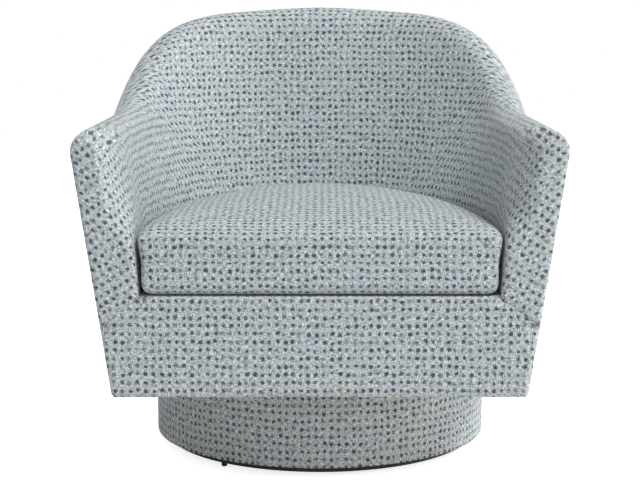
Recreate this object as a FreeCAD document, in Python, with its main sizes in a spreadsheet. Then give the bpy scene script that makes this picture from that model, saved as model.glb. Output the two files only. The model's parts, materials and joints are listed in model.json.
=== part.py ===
import FreeCAD, Part
import os
import Sketcher
from math import asin, atan2, cos, degrees, hypot, pi, radians, sin, tan

# Swivel rocker with a barrel back: a round drum stands on the floor, a ball race on the drum
# turns, a sprung cradle on the race rocks, and the upholstered barrel with its loose seat
# cushion sits on the cradle. Millimetres, +Z up, front towards -Y, origin on the floor on the
# swivel axis.

Vector = FreeCAD.Vector
doc = FreeCAD.newDocument("SwivelRocker")

# Driving dimensions
SIZES = {
    # Upholstery layers
    "cloth": 2.5,
    "layer_gap": 0.3,
    "fit_gap": 0.2,
    "running_gap": 0.05,
    # Drum base
    "drum_radius": 305.0,
    "drum_height": 150.0,
    "drum_cloth_tuck": 95.0,
    "drum_cloth_bend": 4.0,
    "hoop_wall": 12.0,
    "board": 18.0,
    "floor_board_width": 100.0,
    "toe_ring_inset": 19.7,
    "toe_ring_width": 50.0,
    "toe_ring_height": 12.0,
    "glide_height": 6.4,
    "glide_radius": 5.0,
    "glide_chamfer": 1.0,
    "glide_pin_radius": 2.0,
    "glide_pin_length": 7.0,
    "glide_inset": 4.3,
    "glide_turn": 36.6,
    "post_width": 30.0,
    "post_depth": 40.0,
    "post_inset": 43.0,
    # Ball race
    "race_plate": 3.0,
    "race_side": 200.0,
    "race_corner": 20.0,
    "race_gap": 6.0,
    "ball_circle": 75.0,
    "ball_play": 0.1,
    "cage_width": 14.0,
    "cage_height": 2.4,
    "kingpin_radius": 8.0,
    "kingpin_head_radius": 14.0,
    "kingpin_head": 2.5,
    "kingpin_well": 18.0,
    "deck_bolt_offset": 85.0,
    "bolt_radius": 3.0,
    "bolt_head_radius": 5.8,
    "bolt_head": 4.0,
    "bolt_nut": 4.5,
    "bolt_clearance": 0.3,
    "deck_bolt_tail": 4.0,
    "tee_flange_radius": 9.5,
    "tee_flange": 1.5,
    # Rocker cradle
    "cradle_plate": 4.0,
    "cradle_length": 196.0,
    "cheek_inside": 62.0,
    "cheek_thickness": 5.0,
    "cheek_foot": 100.0,
    "cheek_shoulder": 36.0,
    "cheek_top": 20.0,
    "axle_rise": 28.5,
    "axle_radius": 8.0,
    "axle_overhang": 5.0,
    "clip_radius": 12.0,
    "clip_thickness": 1.6,
    "bush_radius": 12.0,
    "bush_flange_radius": 16.0,
    "bush_flange": 1.5,
    "bush_length": 8.0,
    "cradle_bolt_side": 48.0,
    "cradle_bolt_front": 28.0,
    "spring_side": 30.0,
    "spring_front": 60.0,
    "spring_coil_radius": 11.2,
    "spring_wire_radius": 2.4,
    "spring_turns": 5.5,
    "cup_radius": 16.0,
    "cup_height": 3.0,
    "cup_boss_radius": 8.5,
    "cup_boss_height": 8.0,
    "bumper_radius": 11.0,
    "bumper_front": 84.0,
    "rock_back": 12.0,
    "rock_forward": 8.0,
    # Top bracket on the seat
    "bracket_rise": 40.0,
    "bracket_plate": 4.0,
    "bracket_width": 150.0,
    "bracket_length": 196.0,
    "ear_thickness": 5.0,
    "ear_root": 70.0,
    "ear_toe": 36.0,
    "ear_drop": 15.5,
    "bracket_bolt_side": 60.0,
    "bracket_bolt_front": 82.0,
    # Barrel form
    "front_depth": 408.0,
    "barrel_centre": 30.0,
    "side_reach": 351.0,
    "back_reach": 328.0,
    "barrel_squareness": 2.55,
    "arm_flare": 10.0,
    "back_rise": 564.0,
    "back_arch": 10.5,
    "back_arch_end": 0.3,
    "rim_drop": 168.0,
    "drop_start": 0.17,
    "drop_end": 0.66,
    "rim_fall": 20.0,
    "back_crest": 50.0,
    "arm_crest": 36.0,
    "outer_lean_back": 5.5,
    "outer_lean_side": 8.5,
    "seat_half_width": 299.0,
    "seat_length": 550.0,
    "seat_front": 350.0,
    "seat_squareness": 2.15,
    "seat_level": 204.0,
    "seat_wall_lean": 4.0,
    "skirt_drop": 69.3,
    "skirt_wall": 12.0,
    "cover_turn_down": 6.0,
    # Barrel frame
    "rim_rail": 8.8,
    "rib_depth": 22.0,
    "rib_width": 22.0,
    "rear_rib_turn": 34.0,
    "side_rib_turn": 66.0,
    "arm_rib_place": 190.0,
    "front_post_width": 40.0,
    "top_rail_height": 25.0,
    "top_rail_drop": 12.0,
    "shell_panel": 4.0,
    "seat_foam_rise": 86.0,
    # Front rail and seat deck
    "front_pad": 7.5,
    "front_rail": 22.0,
    "front_edge_round": 8.0,
    "mitre_inner_rise": 94.0,
    "mitre_outer_rise": 47.0,
    "deck_rise": 97.2,
    "front_lap": 56.0,
    "rail_rise": 74.0,
    "side_rail_place": 250.0,
    "side_rail": 22.0,
    "back_rail_place": 118.0,
    "corner_block": 60.0,
    "corner_block_height": 45.0,
    "seat_spring_pitch": 90.0,
    "seat_spring_half": 30.0,
    "seat_spring_wire": 1.9,
    "clip_width": 16.0,
    "clip_depth": 12.0,
    "clip_wall": 1.6,
    "deck_cloth": 2.2,
    "deck_side_gap": 1.3,
    # Seat cushion
    "cushion_side_gap": 3.5,
    "cushion_side": 106.8,
    "cushion_height": 142.8,
    "cushion_front_round": 12.0,
    "cushion_draw_in": 3.0,
    "zip_length": 200.0,
    "zip_height": 10.0,
    "zip_rise": 52.0,
}

GLIDE_COUNT = 3
POST_COUNT = 6
BALL_COUNT = 16
SEAT_SPRING_COUNT = 5
SEAT_SPRING_RUNS = 15
BACK_TURNS = (11, 22, 43, 50, 58, 74, 82)
ARM_STEPS = 6
SEARCH_STEPS = 40
SIDES = (-1, 1)

sheet = doc.addObject("Spreadsheet::Sheet", "Sizes")
for row, (alias, amount) in enumerate(SIZES.items(), start=1):
    sheet.set(f"A{row}", alias)
    sheet.set(f"B{row}", str(amount))
    sheet.setAlias(f"B{row}", alias)
doc.recompute()


def size(alias):
    return float(getattr(sheet, alias))


def amount_of(expression):
    return float(sheet.evalExpression(expression))


nodes = []


def keep(item, label):
    item.Label = label
    nodes.append(item)
    return item


# Builders: each binds its sizes to the sheet with expressions

def bind(item, **expressions):
    for name, expression in expressions.items():
        item.setExpression(name, expression)
    return item


def place(item, x="0", y="0", z="0"):
    item.setExpression("Placement.Base.x", x)
    item.setExpression("Placement.Base.y", y)
    item.setExpression("Placement.Base.z", z)
    return item


def cylinder(radius, height, x="0", y="0", z="0", along_x=False):
    item = bind(doc.addObject("Part::Cylinder", "Cylinder"), Radius=radius, Height=height)
    if along_x:
        item.Placement.Rotation = FreeCAD.Rotation(Vector(0, 1, 0), 90)
    return place(item, x, y, z)


def cone(low_radius, high_radius, height, x="0", y="0", z="0"):
    item = bind(doc.addObject("Part::Cone", "Cone"), Radius1=low_radius, Radius2=high_radius,
                Height=height)
    return place(item, x, y, z)


def hexagon(radius, height, x="0", y="0", z="0"):
    item = bind(doc.addObject("Part::Prism", "Hexagon"), Circumradius=radius, Height=height)
    item.Polygon = 6
    return place(item, x, y, z)


def box(length, width, height, x="0", y="0", z="0"):
    item = bind(doc.addObject("Part::Box", "Box"), Length=length, Width=width, Height=height)
    return place(item, x, y, z)


def cut(base, tool):
    item = doc.addObject("Part::Cut", "Cut")
    item.Base = base
    item.Tool = tool
    return item


def fuse(*shapes):
    item = doc.addObject("Part::MultiFuse", "Fusion")
    item.Shapes = list(shapes)
    return item


def group(shapes):
    item = doc.addObject("Part::Compound", "Group")
    item.Links = list(shapes)
    return item


def solid(shape):
    item = doc.addObject("Part::Feature", "Form")
    item.Shape = shape
    item.Placement = FreeCAD.Placement()
    return item


def ring(outer, inner, height, z):
    return cut(cylinder(outer, height, z=z), cylinder(inner, height, z=z))


def origin_plane(body, role):
    return next(item for item in body.Origin.OriginFeatures if item.Role == role)


def sketch_on(body, role, corners, holes=()):
    # Closed outline of straight lines, with round holes, every corner tied to the sheet
    sketch = body.newObject("Sketcher::SketchObject", "Outline")
    sketch.AttachmentSupport = [(origin_plane(body, role), "")]
    sketch.MapMode = "FlatFace"
    spots = [Vector(amount_of(x), amount_of(y), 0) for x, y in corners]
    count = len(spots)
    for index, spot in enumerate(spots):
        sketch.addGeometry(Part.LineSegment(spot, spots[(index + 1) % count]), False)
    for index in range(count):
        sketch.addConstraint(Sketcher.Constraint("Coincident", index, 2, (index + 1) % count, 1))
    for index, corner in enumerate(corners):
        for kind, expression in zip(("DistanceX", "DistanceY"), corner):
            fixed = Sketcher.Constraint(kind, -1, 1, index, 1, amount_of(expression))
            sketch.setExpression(f"Constraints[{sketch.addConstraint(fixed)}]", expression)
    for x, y, radius in holes:
        centre = Vector(amount_of(x), amount_of(y), 0)
        circle = Part.Circle(centre, Vector(0, 0, 1), amount_of(radius))
        index = sketch.addGeometry(circle, False)
        for kind, expression in (("DistanceX", x), ("DistanceY", y)):
            fixed = Sketcher.Constraint(kind, -1, 1, index, 3, amount_of(expression))
            sketch.setExpression(f"Constraints[{sketch.addConstraint(fixed)}]", expression)
        fixed = Sketcher.Constraint("Radius", index, amount_of(radius))
        sketch.setExpression(f"Constraints[{sketch.addConstraint(fixed)}]", radius)
    return sketch


def padded(corners, thickness, z="0", holes=(), role="XY_Plane", x="0"):
    body = doc.addObject("PartDesign::Body", "Plate")
    sketch = sketch_on(body, role, corners, holes)
    pad = body.newObject("PartDesign::Pad", "Pad")
    pad.Profile = sketch
    pad.setExpression("Length", thickness)
    sketch.Visibility = False
    return place(body, x=x, z=z)


def revolved(corners):
    body = doc.addObject("PartDesign::Body", "Turned")
    sketch = sketch_on(body, "XZ_Plane", corners)
    turn = body.newObject("PartDesign::Revolution", "Turn")
    turn.Profile = sketch
    turn.ReferenceAxis = (sketch, ["V_Axis"])
    turn.Angle = 360
    sketch.Visibility = False
    return body


def octagon(side, corner):
    half = f"({side})/2"
    inner = f"({half} - {corner})"
    return [(half, f"-{inner}"), (half, inner), (inner, half), (f"-{inner}", half),
            (f"-{half}", inner), (f"-{half}", f"-{inner}"), (f"-{inner}", f"-{half}"),
            (inner, f"-{half}")]


def rectangle(length, width):
    return [(f"-{length}/2", f"-{width}/2"), (f"{length}/2", f"-{width}/2"),
            (f"{length}/2", f"{width}/2"), (f"-{length}/2", f"{width}/2")]


def four_places(side, front):
    return [(f"{i}*{side}", f"{j}*{front}") for i in SIDES for j in SIDES]


def polar(radius, turn):
    return f"{radius}*cos({turn})", f"{radius}*sin({turn})"


def hex_bolts(places, head_z, shank_z, shank_length):
    bolts = []
    for x, y in places:
        head = hexagon("Sizes.bolt_head_radius", "Sizes.bolt_head", x, y, head_z)
        bolts.append(fuse(head, cylinder("Sizes.bolt_radius", shank_length, x, y, shank_z)))
    return group(bolts)


def hex_nuts(places, z):
    bore = "Sizes.bolt_radius + Sizes.running_gap"
    return group([cut(hexagon("Sizes.bolt_head_radius", "Sizes.bolt_nut", x, y, z),
                      cylinder(bore, "Sizes.bolt_nut", x, y, z)) for x, y in places])


BOLT_HOLE = "Sizes.bolt_radius + Sizes.bolt_clearance"

# Levels, from the floor up

TOE_TOP = "(Sizes.glide_height + Sizes.toe_ring_height)"
DECK_TOP = "(Sizes.drum_height - Sizes.cloth)"
DECK_BOTTOM = f"({DECK_TOP} - Sizes.board)"
RACE_TOP = f"({DECK_TOP} + Sizes.race_plate)"
TURN_BOTTOM = f"({RACE_TOP} + Sizes.race_gap)"
TURN_TOP = f"({TURN_BOTTOM} + Sizes.race_plate)"
CRADLE_TOP = f"({TURN_TOP} + Sizes.cradle_plate)"
AXLE_Z = f"({CRADLE_TOP} + Sizes.axle_rise)"
BRACKET_BOTTOM = f"({AXLE_Z} + Sizes.bracket_rise)"
SEAT_BOTTOM = f"({BRACKET_BOTTOM} + Sizes.bracket_plate)"
SEAT_TOP = f"({SEAT_BOTTOM} + Sizes.board)"

# Drum base

hoop_outer = "(Sizes.drum_radius - Sizes.cloth)"
hoop_inner = f"({hoop_outer} - Sizes.hoop_wall)"
board_edge = f"({hoop_inner} - Sizes.fit_gap)"

toe_edge = "(Sizes.drum_radius - Sizes.toe_ring_inset)"
glide_circle = f"({toe_edge} - Sizes.glide_inset)"
glide_places = [polar(glide_circle, f"270 - Sizes.glide_turn - {360 * k / GLIDE_COUNT}")
                for k in range(GLIDE_COUNT)]


def glide(x, y):
    foot = cone("Sizes.glide_radius - Sizes.glide_chamfer", "Sizes.glide_radius",
                "Sizes.glide_chamfer", x, y)
    pad = cylinder("Sizes.glide_radius", "Sizes.glide_height - Sizes.glide_chamfer", x, y,
                   "Sizes.glide_chamfer")
    pin = cylinder("Sizes.glide_pin_radius", "Sizes.glide_pin_length + 1", x, y,
                   "Sizes.glide_height - 1")
    return fuse(foot, pad, pin)


keep(group([glide(x, y) for x, y in glide_places]), "glides")

pin_holes = group([cylinder("Sizes.glide_pin_radius + Sizes.fit_gap",
                            "Sizes.glide_pin_length + 1", x, y, "Sizes.glide_height - 0.5")
                   for x, y in glide_places])
toe_blank = ring(toe_edge, f"{toe_edge} - Sizes.toe_ring_width", "Sizes.toe_ring_height",
                 "Sizes.glide_height")
keep(cut(toe_blank, pin_holes), "toe_ring")

keep(ring(board_edge, f"{board_edge} - Sizes.floor_board_width", "Sizes.board", TOE_TOP),
     "floor_board")


def drum_post(turn):
    height = f"{DECK_BOTTOM} - {TOE_TOP} - Sizes.board"
    post = box("Sizes.post_depth", "Sizes.post_width", height)
    x, y = polar("(Sizes.drum_radius - Sizes.post_inset)", turn)
    post.Placement.Rotation = FreeCAD.Rotation(Vector(0, 0, 1), float(turn))
    inward = "Sizes.post_depth/2"
    aside = "Sizes.post_width/2"
    return place(post, f"{x} - {inward}*cos({turn}) + {aside}*sin({turn})",
                 f"{y} - {inward}*sin({turn}) - {aside}*cos({turn})", f"{TOE_TOP} + Sizes.board")


keep(group([drum_post(str(30 + 360 / POST_COUNT * k)) for k in range(POST_COUNT)]), "drum_posts")

keep(ring(hoop_outer, hoop_inner, f"{DECK_TOP} - {TOE_TOP}", TOE_TOP), "drum_hoop")

deck_holes = [cylinder("Sizes.kingpin_well", "Sizes.board", z=DECK_BOTTOM)]
deck_bolt_places = four_places("Sizes.deck_bolt_offset", "Sizes.deck_bolt_offset")
deck_holes += [cylinder(BOLT_HOLE, "Sizes.board", x, y, DECK_BOTTOM)
               for x, y in deck_bolt_places]
keep(cut(cylinder(board_edge, "Sizes.board", z=DECK_BOTTOM), group(deck_holes)), "drum_deck")

cover_inner = f"({hoop_outer} + Sizes.fit_gap)"
bend = "Sizes.drum_cloth_bend"
tuck = "(Sizes.drum_radius - Sizes.drum_cloth_tuck)"
cover_top_inner = f"({DECK_TOP} + Sizes.fit_gap)"
keep(revolved([(cover_inner, TOE_TOP), ("Sizes.drum_radius", TOE_TOP),
               ("Sizes.drum_radius", f"Sizes.drum_height - {bend}"),
               (f"Sizes.drum_radius - 0.3*{bend}", f"Sizes.drum_height - 0.3*{bend}"),
               (f"Sizes.drum_radius - {bend}", "Sizes.drum_height"),
               (tuck, "Sizes.drum_height"), (tuck, cover_top_inner),
               (cover_inner, cover_top_inner)]), "drum_cover")

# Ball race between the drum and the cradle

race_outline = octagon("Sizes.race_side", "Sizes.race_corner")
pin_fit = "Sizes.kingpin_radius + Sizes.running_gap"
keep(padded(race_outline, "Sizes.race_plate", DECK_TOP,
            [("0", "0", pin_fit)] + [(x, y, BOLT_HOLE) for x, y in deck_bolt_places]),
     "swivel_lower_plate")

deck_bolt_foot = f"({DECK_BOTTOM} - Sizes.tee_flange - Sizes.deck_bolt_tail)"
keep(hex_bolts(deck_bolt_places, RACE_TOP, deck_bolt_foot,
               f"{RACE_TOP} + Sizes.bolt_head/2 - {deck_bolt_foot}"), "deck_bolts")
keep(group([cut(cylinder("Sizes.tee_flange_radius", "Sizes.tee_flange", x, y,
                         f"{DECK_BOTTOM} - Sizes.tee_flange"),
                cylinder("Sizes.bolt_radius + Sizes.running_gap", "Sizes.tee_flange", x, y,
                         f"{DECK_BOTTOM} - Sizes.tee_flange")) for x, y in deck_bolt_places]),
     "tee_nuts")

pin_head_z = f"({TURN_TOP} + Sizes.fit_gap)"
pin_foot_z = f"({DECK_TOP} - Sizes.kingpin_head)"
keep(fuse(cylinder("Sizes.kingpin_head_radius", "Sizes.kingpin_head", z=pin_foot_z),
          cylinder("Sizes.kingpin_radius", f"{pin_head_z} - {pin_foot_z}", z=pin_foot_z),
          cylinder("Sizes.kingpin_head_radius", "Sizes.kingpin_head", z=pin_head_z)), "kingpin")

ball_radius = "(Sizes.race_gap/2 - Sizes.ball_play/2)"
ball_level = f"({RACE_TOP} + Sizes.race_gap/2)"
ball_places = [polar("Sizes.ball_circle", str(360 / BALL_COUNT * k)) for k in range(BALL_COUNT)]


def ball(x, y):
    item = bind(doc.addObject("Part::Sphere", "Ball"), Radius=ball_radius)
    return place(item, x, y, ball_level)


keep(group([ball(x, y) for x, y in ball_places]), "bearing_balls")

cage_z = f"({ball_level} - Sizes.cage_height/2)"
cage_blank = ring("Sizes.ball_circle + Sizes.cage_width/2",
                  "Sizes.ball_circle - Sizes.cage_width/2", "Sizes.cage_height", cage_z)
keep(cut(cage_blank, group([cylinder(f"{ball_radius} + Sizes.fit_gap", "Sizes.cage_height",
                                     x, y, cage_z) for x, y in ball_places])), "ball_cage")

# Turntable: the upper race plate and the cradle that it turns

cradle_bolt_places = four_places("Sizes.cradle_bolt_side", "Sizes.cradle_bolt_front")
keep(padded(race_outline, "Sizes.race_plate", TURN_BOTTOM,
            [("0", "0", pin_fit)] + [(x, y, BOLT_HOLE) for x, y in cradle_bolt_places]),
     "swivel_upper_plate")

cradle_width = "2*(Sizes.cheek_inside + Sizes.cheek_thickness)"
cradle_floor = padded(rectangle(f"({cradle_width})", "Sizes.cradle_length"),
                      "Sizes.cradle_plate", TURN_TOP,
                      [("0", "0", "Sizes.kingpin_head_radius + 3*Sizes.bolt_clearance")]
                      + [(x, y, BOLT_HOLE) for x, y in cradle_bolt_places])


def wall_profile(foot, shoulder, top, shoulder_z, top_z, foot_z):
    return [(f"-{foot}/2", foot_z), (f"{foot}/2", foot_z), (f"{shoulder}/2", shoulder_z),
            (f"{top}/2", top_z), (f"-{top}/2", top_z), (f"-{shoulder}/2", shoulder_z)]


cheek_outline = wall_profile("Sizes.cheek_foot", "Sizes.cheek_shoulder", "Sizes.cheek_top",
                             f"{AXLE_Z} + Sizes.cheek_shoulder/3",
                             f"{AXLE_Z} + Sizes.cheek_top", f"{CRADLE_TOP} - 1")
axle_bore = [("0", AXLE_Z, "Sizes.axle_radius + Sizes.running_gap")]
cheeks = [padded(cheek_outline, "Sizes.cheek_thickness", holes=axle_bore, role="YZ_Plane",
                 x="Sizes.cheek_inside"),
          padded(cheek_outline, "Sizes.cheek_thickness", holes=axle_bore, role="YZ_Plane",
                 x="-Sizes.cheek_inside - Sizes.cheek_thickness")]
keep(fuse(cradle_floor, *cheeks), "rocker_cradle")

cradle_nut_z = f"({TURN_BOTTOM} - Sizes.bolt_nut)"
keep(hex_bolts(cradle_bolt_places, CRADLE_TOP, cradle_nut_z,
               f"{CRADLE_TOP} + Sizes.bolt_head/2 - {cradle_nut_z}"), "cradle_bolts")
keep(hex_nuts(cradle_bolt_places, cradle_nut_z), "cradle_nuts")

axle_half = "(Sizes.cheek_inside + Sizes.cheek_thickness + Sizes.axle_overhang)"
keep(cylinder("Sizes.axle_radius", f"2*{axle_half}", x=f"-{axle_half}", z=AXLE_Z,
              along_x=True), "rocker_shaft")


def collar(outer, inner, thickness, x):
    return cut(cylinder(outer, thickness, x=x, z=AXLE_Z, along_x=True),
               cylinder(inner, thickness, x=x, z=AXLE_Z, along_x=True))


axle_fit = "Sizes.axle_radius + Sizes.running_gap"
clip_start = "(Sizes.cheek_inside + Sizes.cheek_thickness + Sizes.fit_gap)"
keep(group([collar("Sizes.clip_radius", axle_fit, "Sizes.clip_thickness", clip_start),
            collar("Sizes.clip_radius", axle_fit, "Sizes.clip_thickness",
                   f"-{clip_start} - Sizes.clip_thickness")]), "shaft_clips")

spring_places = four_places("Sizes.spring_side", "Sizes.spring_front")
keep(group([fuse(cylinder("Sizes.cup_radius", "Sizes.cup_height", x, y, CRADLE_TOP),
                 cylinder("Sizes.cup_boss_radius", "Sizes.cup_height + Sizes.cup_boss_height",
                          x, y, CRADLE_TOP)) for x, y in spring_places]), "lower_spring_cups")


def coil_spring(x, y):
    wire = size("spring_wire_radius")
    foot = amount_of(f"{CRADLE_TOP} + Sizes.cup_height") + size("fit_gap") + wire
    head = amount_of(f"{BRACKET_BOTTOM} - Sizes.cup_height") - size("fit_gap") - wire
    coil = size("spring_coil_radius")
    path = Part.makeHelix((head - foot) / size("spring_turns"), head - foot, coil)
    end = Part.Wire(Part.makeCircle(wire, Vector(coil, 0, 0), Vector(0, 1, 0)))
    spring = Part.Wire(path).makePipeShell([end], True, True)
    spring.translate(Vector(amount_of(x), amount_of(y), foot))
    return spring


keep(solid(Part.makeCompound([coil_spring(x, y) for x, y in spring_places])), "rocker_springs")


def bumper_height(rock):
    reach = "(Sizes.bumper_front + Sizes.bumper_radius)"
    return (f"Sizes.axle_rise + Sizes.bracket_rise/cos({rock}) - tan({rock})*{reach}"
            " - Sizes.layer_gap")


keep(group([cylinder("Sizes.bumper_radius", bumper_height("Sizes.rock_forward"),
                     y="-Sizes.bumper_front", z=CRADLE_TOP),
            cylinder("Sizes.bumper_radius", bumper_height("Sizes.rock_back"),
                     y="Sizes.bumper_front", z=CRADLE_TOP)]), "stop_bumpers")

# Rocking bracket under the seat

bracket_bolt_places = four_places("Sizes.bracket_bolt_side", "Sizes.bracket_bolt_front")
bracket_floor = padded(rectangle("Sizes.bracket_width", "Sizes.bracket_length"),
                       "Sizes.bracket_plate", BRACKET_BOTTOM,
                       [(x, y, BOLT_HOLE) for x, y in bracket_bolt_places])
ear_outside = "(Sizes.cheek_inside - Sizes.bush_flange - Sizes.layer_gap)"
ear_outline = wall_profile("Sizes.ear_root", "Sizes.ear_toe", "Sizes.cheek_top",
                           f"{AXLE_Z} - Sizes.ear_toe/5", f"{AXLE_Z} - Sizes.ear_drop",
                           f"{BRACKET_BOTTOM} + 1")
bush_hole = [("0", AXLE_Z, "Sizes.bush_radius + Sizes.running_gap")]
ears = [padded(ear_outline, "Sizes.ear_thickness", holes=bush_hole, role="YZ_Plane",
               x=f"{ear_outside} - Sizes.ear_thickness"),
        padded(ear_outline, "Sizes.ear_thickness", holes=bush_hole, role="YZ_Plane",
               x=f"-{ear_outside}")]
keep(fuse(bracket_floor, *ears), "rocker_bracket")


def bush(side):
    barrel_x = f"({ear_outside} - Sizes.bush_length)" if side > 0 else f"-{ear_outside}"
    flange_x = ear_outside if side > 0 else f"-{ear_outside} - Sizes.bush_flange"
    reach = "Sizes.bush_length"
    whole = fuse(cylinder("Sizes.bush_radius", reach, x=barrel_x, z=AXLE_Z, along_x=True),
                 cylinder("Sizes.bush_flange_radius", "Sizes.bush_flange", x=flange_x, z=AXLE_Z,
                          along_x=True))
    bore = cylinder(axle_fit, "2*Sizes.cheek_inside", x="-Sizes.cheek_inside" if side < 0 else "0",
                    z=AXLE_Z, along_x=True)
    return cut(whole, bore)


keep(group([bush(side) for side in SIDES]), "shaft_bushes")

upper_cup_z = f"({BRACKET_BOTTOM} - Sizes.cup_height)"
keep(group([fuse(cylinder("Sizes.cup_radius", "Sizes.cup_height", x, y, upper_cup_z),
                 cylinder("Sizes.cup_boss_radius", "Sizes.cup_height + Sizes.cup_boss_height",
                          x, y, f"{upper_cup_z} - Sizes.cup_boss_height"))
            for x, y in spring_places]), "upper_spring_cups")

bracket_head_z = f"({BRACKET_BOTTOM} - Sizes.bolt_head)"
bracket_shank_z = f"({BRACKET_BOTTOM} - Sizes.bolt_head/2)"
keep(hex_bolts(bracket_bolt_places, bracket_head_z, bracket_shank_z,
               f"{SEAT_TOP} + Sizes.bolt_nut - {bracket_shank_z}"), "bracket_bolts")
keep(hex_nuts(bracket_bolt_places, SEAT_TOP), "bracket_nuts")

# Barrel form: stations along the rim, each a plane that stands across the wall

FRONT_Y = -size("front_depth")
CENTRE_Y = size("barrel_centre")
SEAT_Z = amount_of(SEAT_BOTTOM)
GAP = size("layer_gap")
CLOTH = size("cloth")
FOAM_Z = SEAT_Z + size("seat_foam_rise")
LEVEL_Z = SEAT_Z + size("seat_level")
PAD_FRONT = FRONT_Y + CLOTH + GAP
FRAME_FRONT = PAD_FRONT + size("front_pad")
RAIL_BACK = FRAME_FRONT + size("front_rail")
POST_BACK = FRAME_FRONT + size("front_post_width")


def squared_round(turn, side, back, power):
    # Distance from the centre to a rounded-square plan in the direction of turn
    return (abs(sin(radians(turn)) / side)**power
            + abs(cos(radians(turn)) / back)**power)**(-1 / power)


def back_reach(turn):
    return squared_round(turn, size("side_reach"), size("back_reach"), size("barrel_squareness"))


def seat_reach(turn, y):
    # Distance from the middle line to the plan of the seat, which tapers to a round back
    far = size("seat_half_width") + size("seat_length")
    near = 0.0
    power = size("seat_squareness")
    for _ in range(SEARCH_STEPS):
        reach = (near + far) / 2
        deep = max(y + reach * cos(radians(turn)) + size("seat_front"), 0)
        wide = abs(reach * sin(radians(turn)))
        if (wide / size("seat_half_width"))**power + (deep / size("seat_length"))**power < 1:
            near = reach
        else:
            far = reach
    return near


def flare(y):
    return size("arm_flare") * (CENTRE_Y - y) / (CENTRE_Y - FRONT_Y)


def rim_run(turn):
    # Length of the rim from the middle of the back round to this turn
    steps = max(1, round(abs(turn)))
    spots = [(back_reach(a) * sin(radians(a)), back_reach(a) * cos(radians(a)))
             for a in (abs(turn) * k / steps for k in range(steps + 1))]
    return sum(hypot(b[0] - a[0], b[1] - a[1]) for a, b in zip(spots, spots[1:]))


QUARTER_RUN = rim_run(90)
HALF_RUN = QUARTER_RUN + hypot(CENTRE_Y - FRONT_Y, size("arm_flare"))


def rim_height(share):
    # The rim arches over the back, drops in an S to the arms and falls slightly to the front
    arch = (1 - cos(pi * min(share / size("back_arch_end"), 1))) / 2
    slope = (share - size("drop_start")) / (size("drop_end") - size("drop_start"))
    slope = min(max(slope, 0), 1)
    drop = slope**2 / (slope**2 + (1 - slope)**2)
    return (SEAT_Z + size("back_rise") - size("back_arch") * arch - size("rim_drop") * drop
            - size("rim_fall") * share)


class Station:
    def __init__(self, turn, y=None):
        self.turn = radians(turn)
        self.y = CENTRE_Y if y is None else y
        share = (rim_run(turn) + CENTRE_Y - self.y) / HALF_RUN
        sideways = sin(self.turn)**2
        self.rim = rim_height(min(share, 1))
        self.reach = back_reach(turn) + flare(self.y)
        self.crest = size("back_crest") + (size("arm_crest") - size("back_crest")) * sideways
        self.crown = self.rim - self.crest
        lean = size("outer_lean_back")
        self.outer_lean = radians(lean + (size("outer_lean_side") - lean) * sideways)
        # The inner face runs straight from the seat plan up to touch the round of the crest
        inward = self.reach - seat_reach(turn, self.y)
        height = self.crown - LEVEL_Z
        self.inner_lean = atan2(inward, height) - asin(self.crest / hypot(inward, height))
        self.roll = self.crown - self.crest * sin(self.outer_lean)

    def outer(self, z, inset=0.0):
        lean = self.outer_lean
        return self.reach + (self.crest - inset) / cos(lean) - (self.crown - z) * tan(lean)

    def inner(self, z, inset=0.0):
        # Below the seat level the inner face stands nearly upright
        lean = self.inner_lean
        fall = self.crown - max(z, LEVEL_Z)
        upright = max(LEVEL_Z - z, 0) * tan(radians(size("seat_wall_lean")))
        return self.reach - (self.crest - inset) / cos(lean) - fall * tan(lean) - upright

    def around(self, angle, inset=0.0):
        # A place on the crest, angle in radians from the outward side over the top
        radius = self.crest - inset
        return self.reach + radius * cos(angle), self.crown + radius * sin(angle)

    def point(self, reach, z):
        return Vector(reach * sin(self.turn), self.y + reach * cos(self.turn), z)


HALF_RIB = size("rib_width") / 2
RIB_TURN = degrees(HALF_RIB / size("back_reach"))


def back_turns():
    # Turns of the stations on one half of the back, with both edges of each rib among them
    turns = set(BACK_TURNS) | {RIB_TURN}
    for turn in (size("rear_rib_turn"), size("side_rib_turn")):
        turns |= {turn - RIB_TURN, turn + RIB_TURN}
    return sorted(turns)


def arm_places(front):
    # Stations along an arm from the front, with both edges of each rib and post among them
    ribs = [-size("arm_rib_place") - HALF_RIB, -size("arm_rib_place") + HALF_RIB, -HALF_RIB,
            HALF_RIB, POST_BACK]
    fill = [CENTRE_Y - (CENTRE_Y - FRONT_Y) * k / ARM_STEPS for k in range(1, ARM_STEPS)]
    fill = [y for y in fill if min(abs(y - rib) for rib in ribs) > HALF_RIB]
    return [front] + sorted(y for y in ribs + fill if y > front + 1)


def barrel_stations(front):
    turns = [-a for a in reversed(back_turns())] + [0] + back_turns()
    left = [Station(-90, y) for y in arm_places(front)] + [Station(-90)]
    right = [Station(90)] + [Station(90, y) for y in reversed(arm_places(front))]
    return left + [Station(turn) for turn in turns] + right


def section(station, start, steps):
    # Closed wire across the wall: (r, z) makes a line, (middle, end) pairs make an arc
    edges = []
    here = station.point(*start)
    for step in steps + [start]:
        if isinstance(step[0], tuple):
            middle, end = (station.point(*spot) for spot in step)
            edges.append(Part.Arc(here, middle, end).toShape())
        else:
            end = station.point(*step)
            edges.append(Part.makeLine(here, end))
        here = end
    return Part.Wire(edges)


def loft(stations, profile):
    shape = Part.makeLoft([section(station, *profile(station)) for station in stations],
                          True, True)
    if shape.Volume < 0:
        shape.reverse()
    return shape


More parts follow.
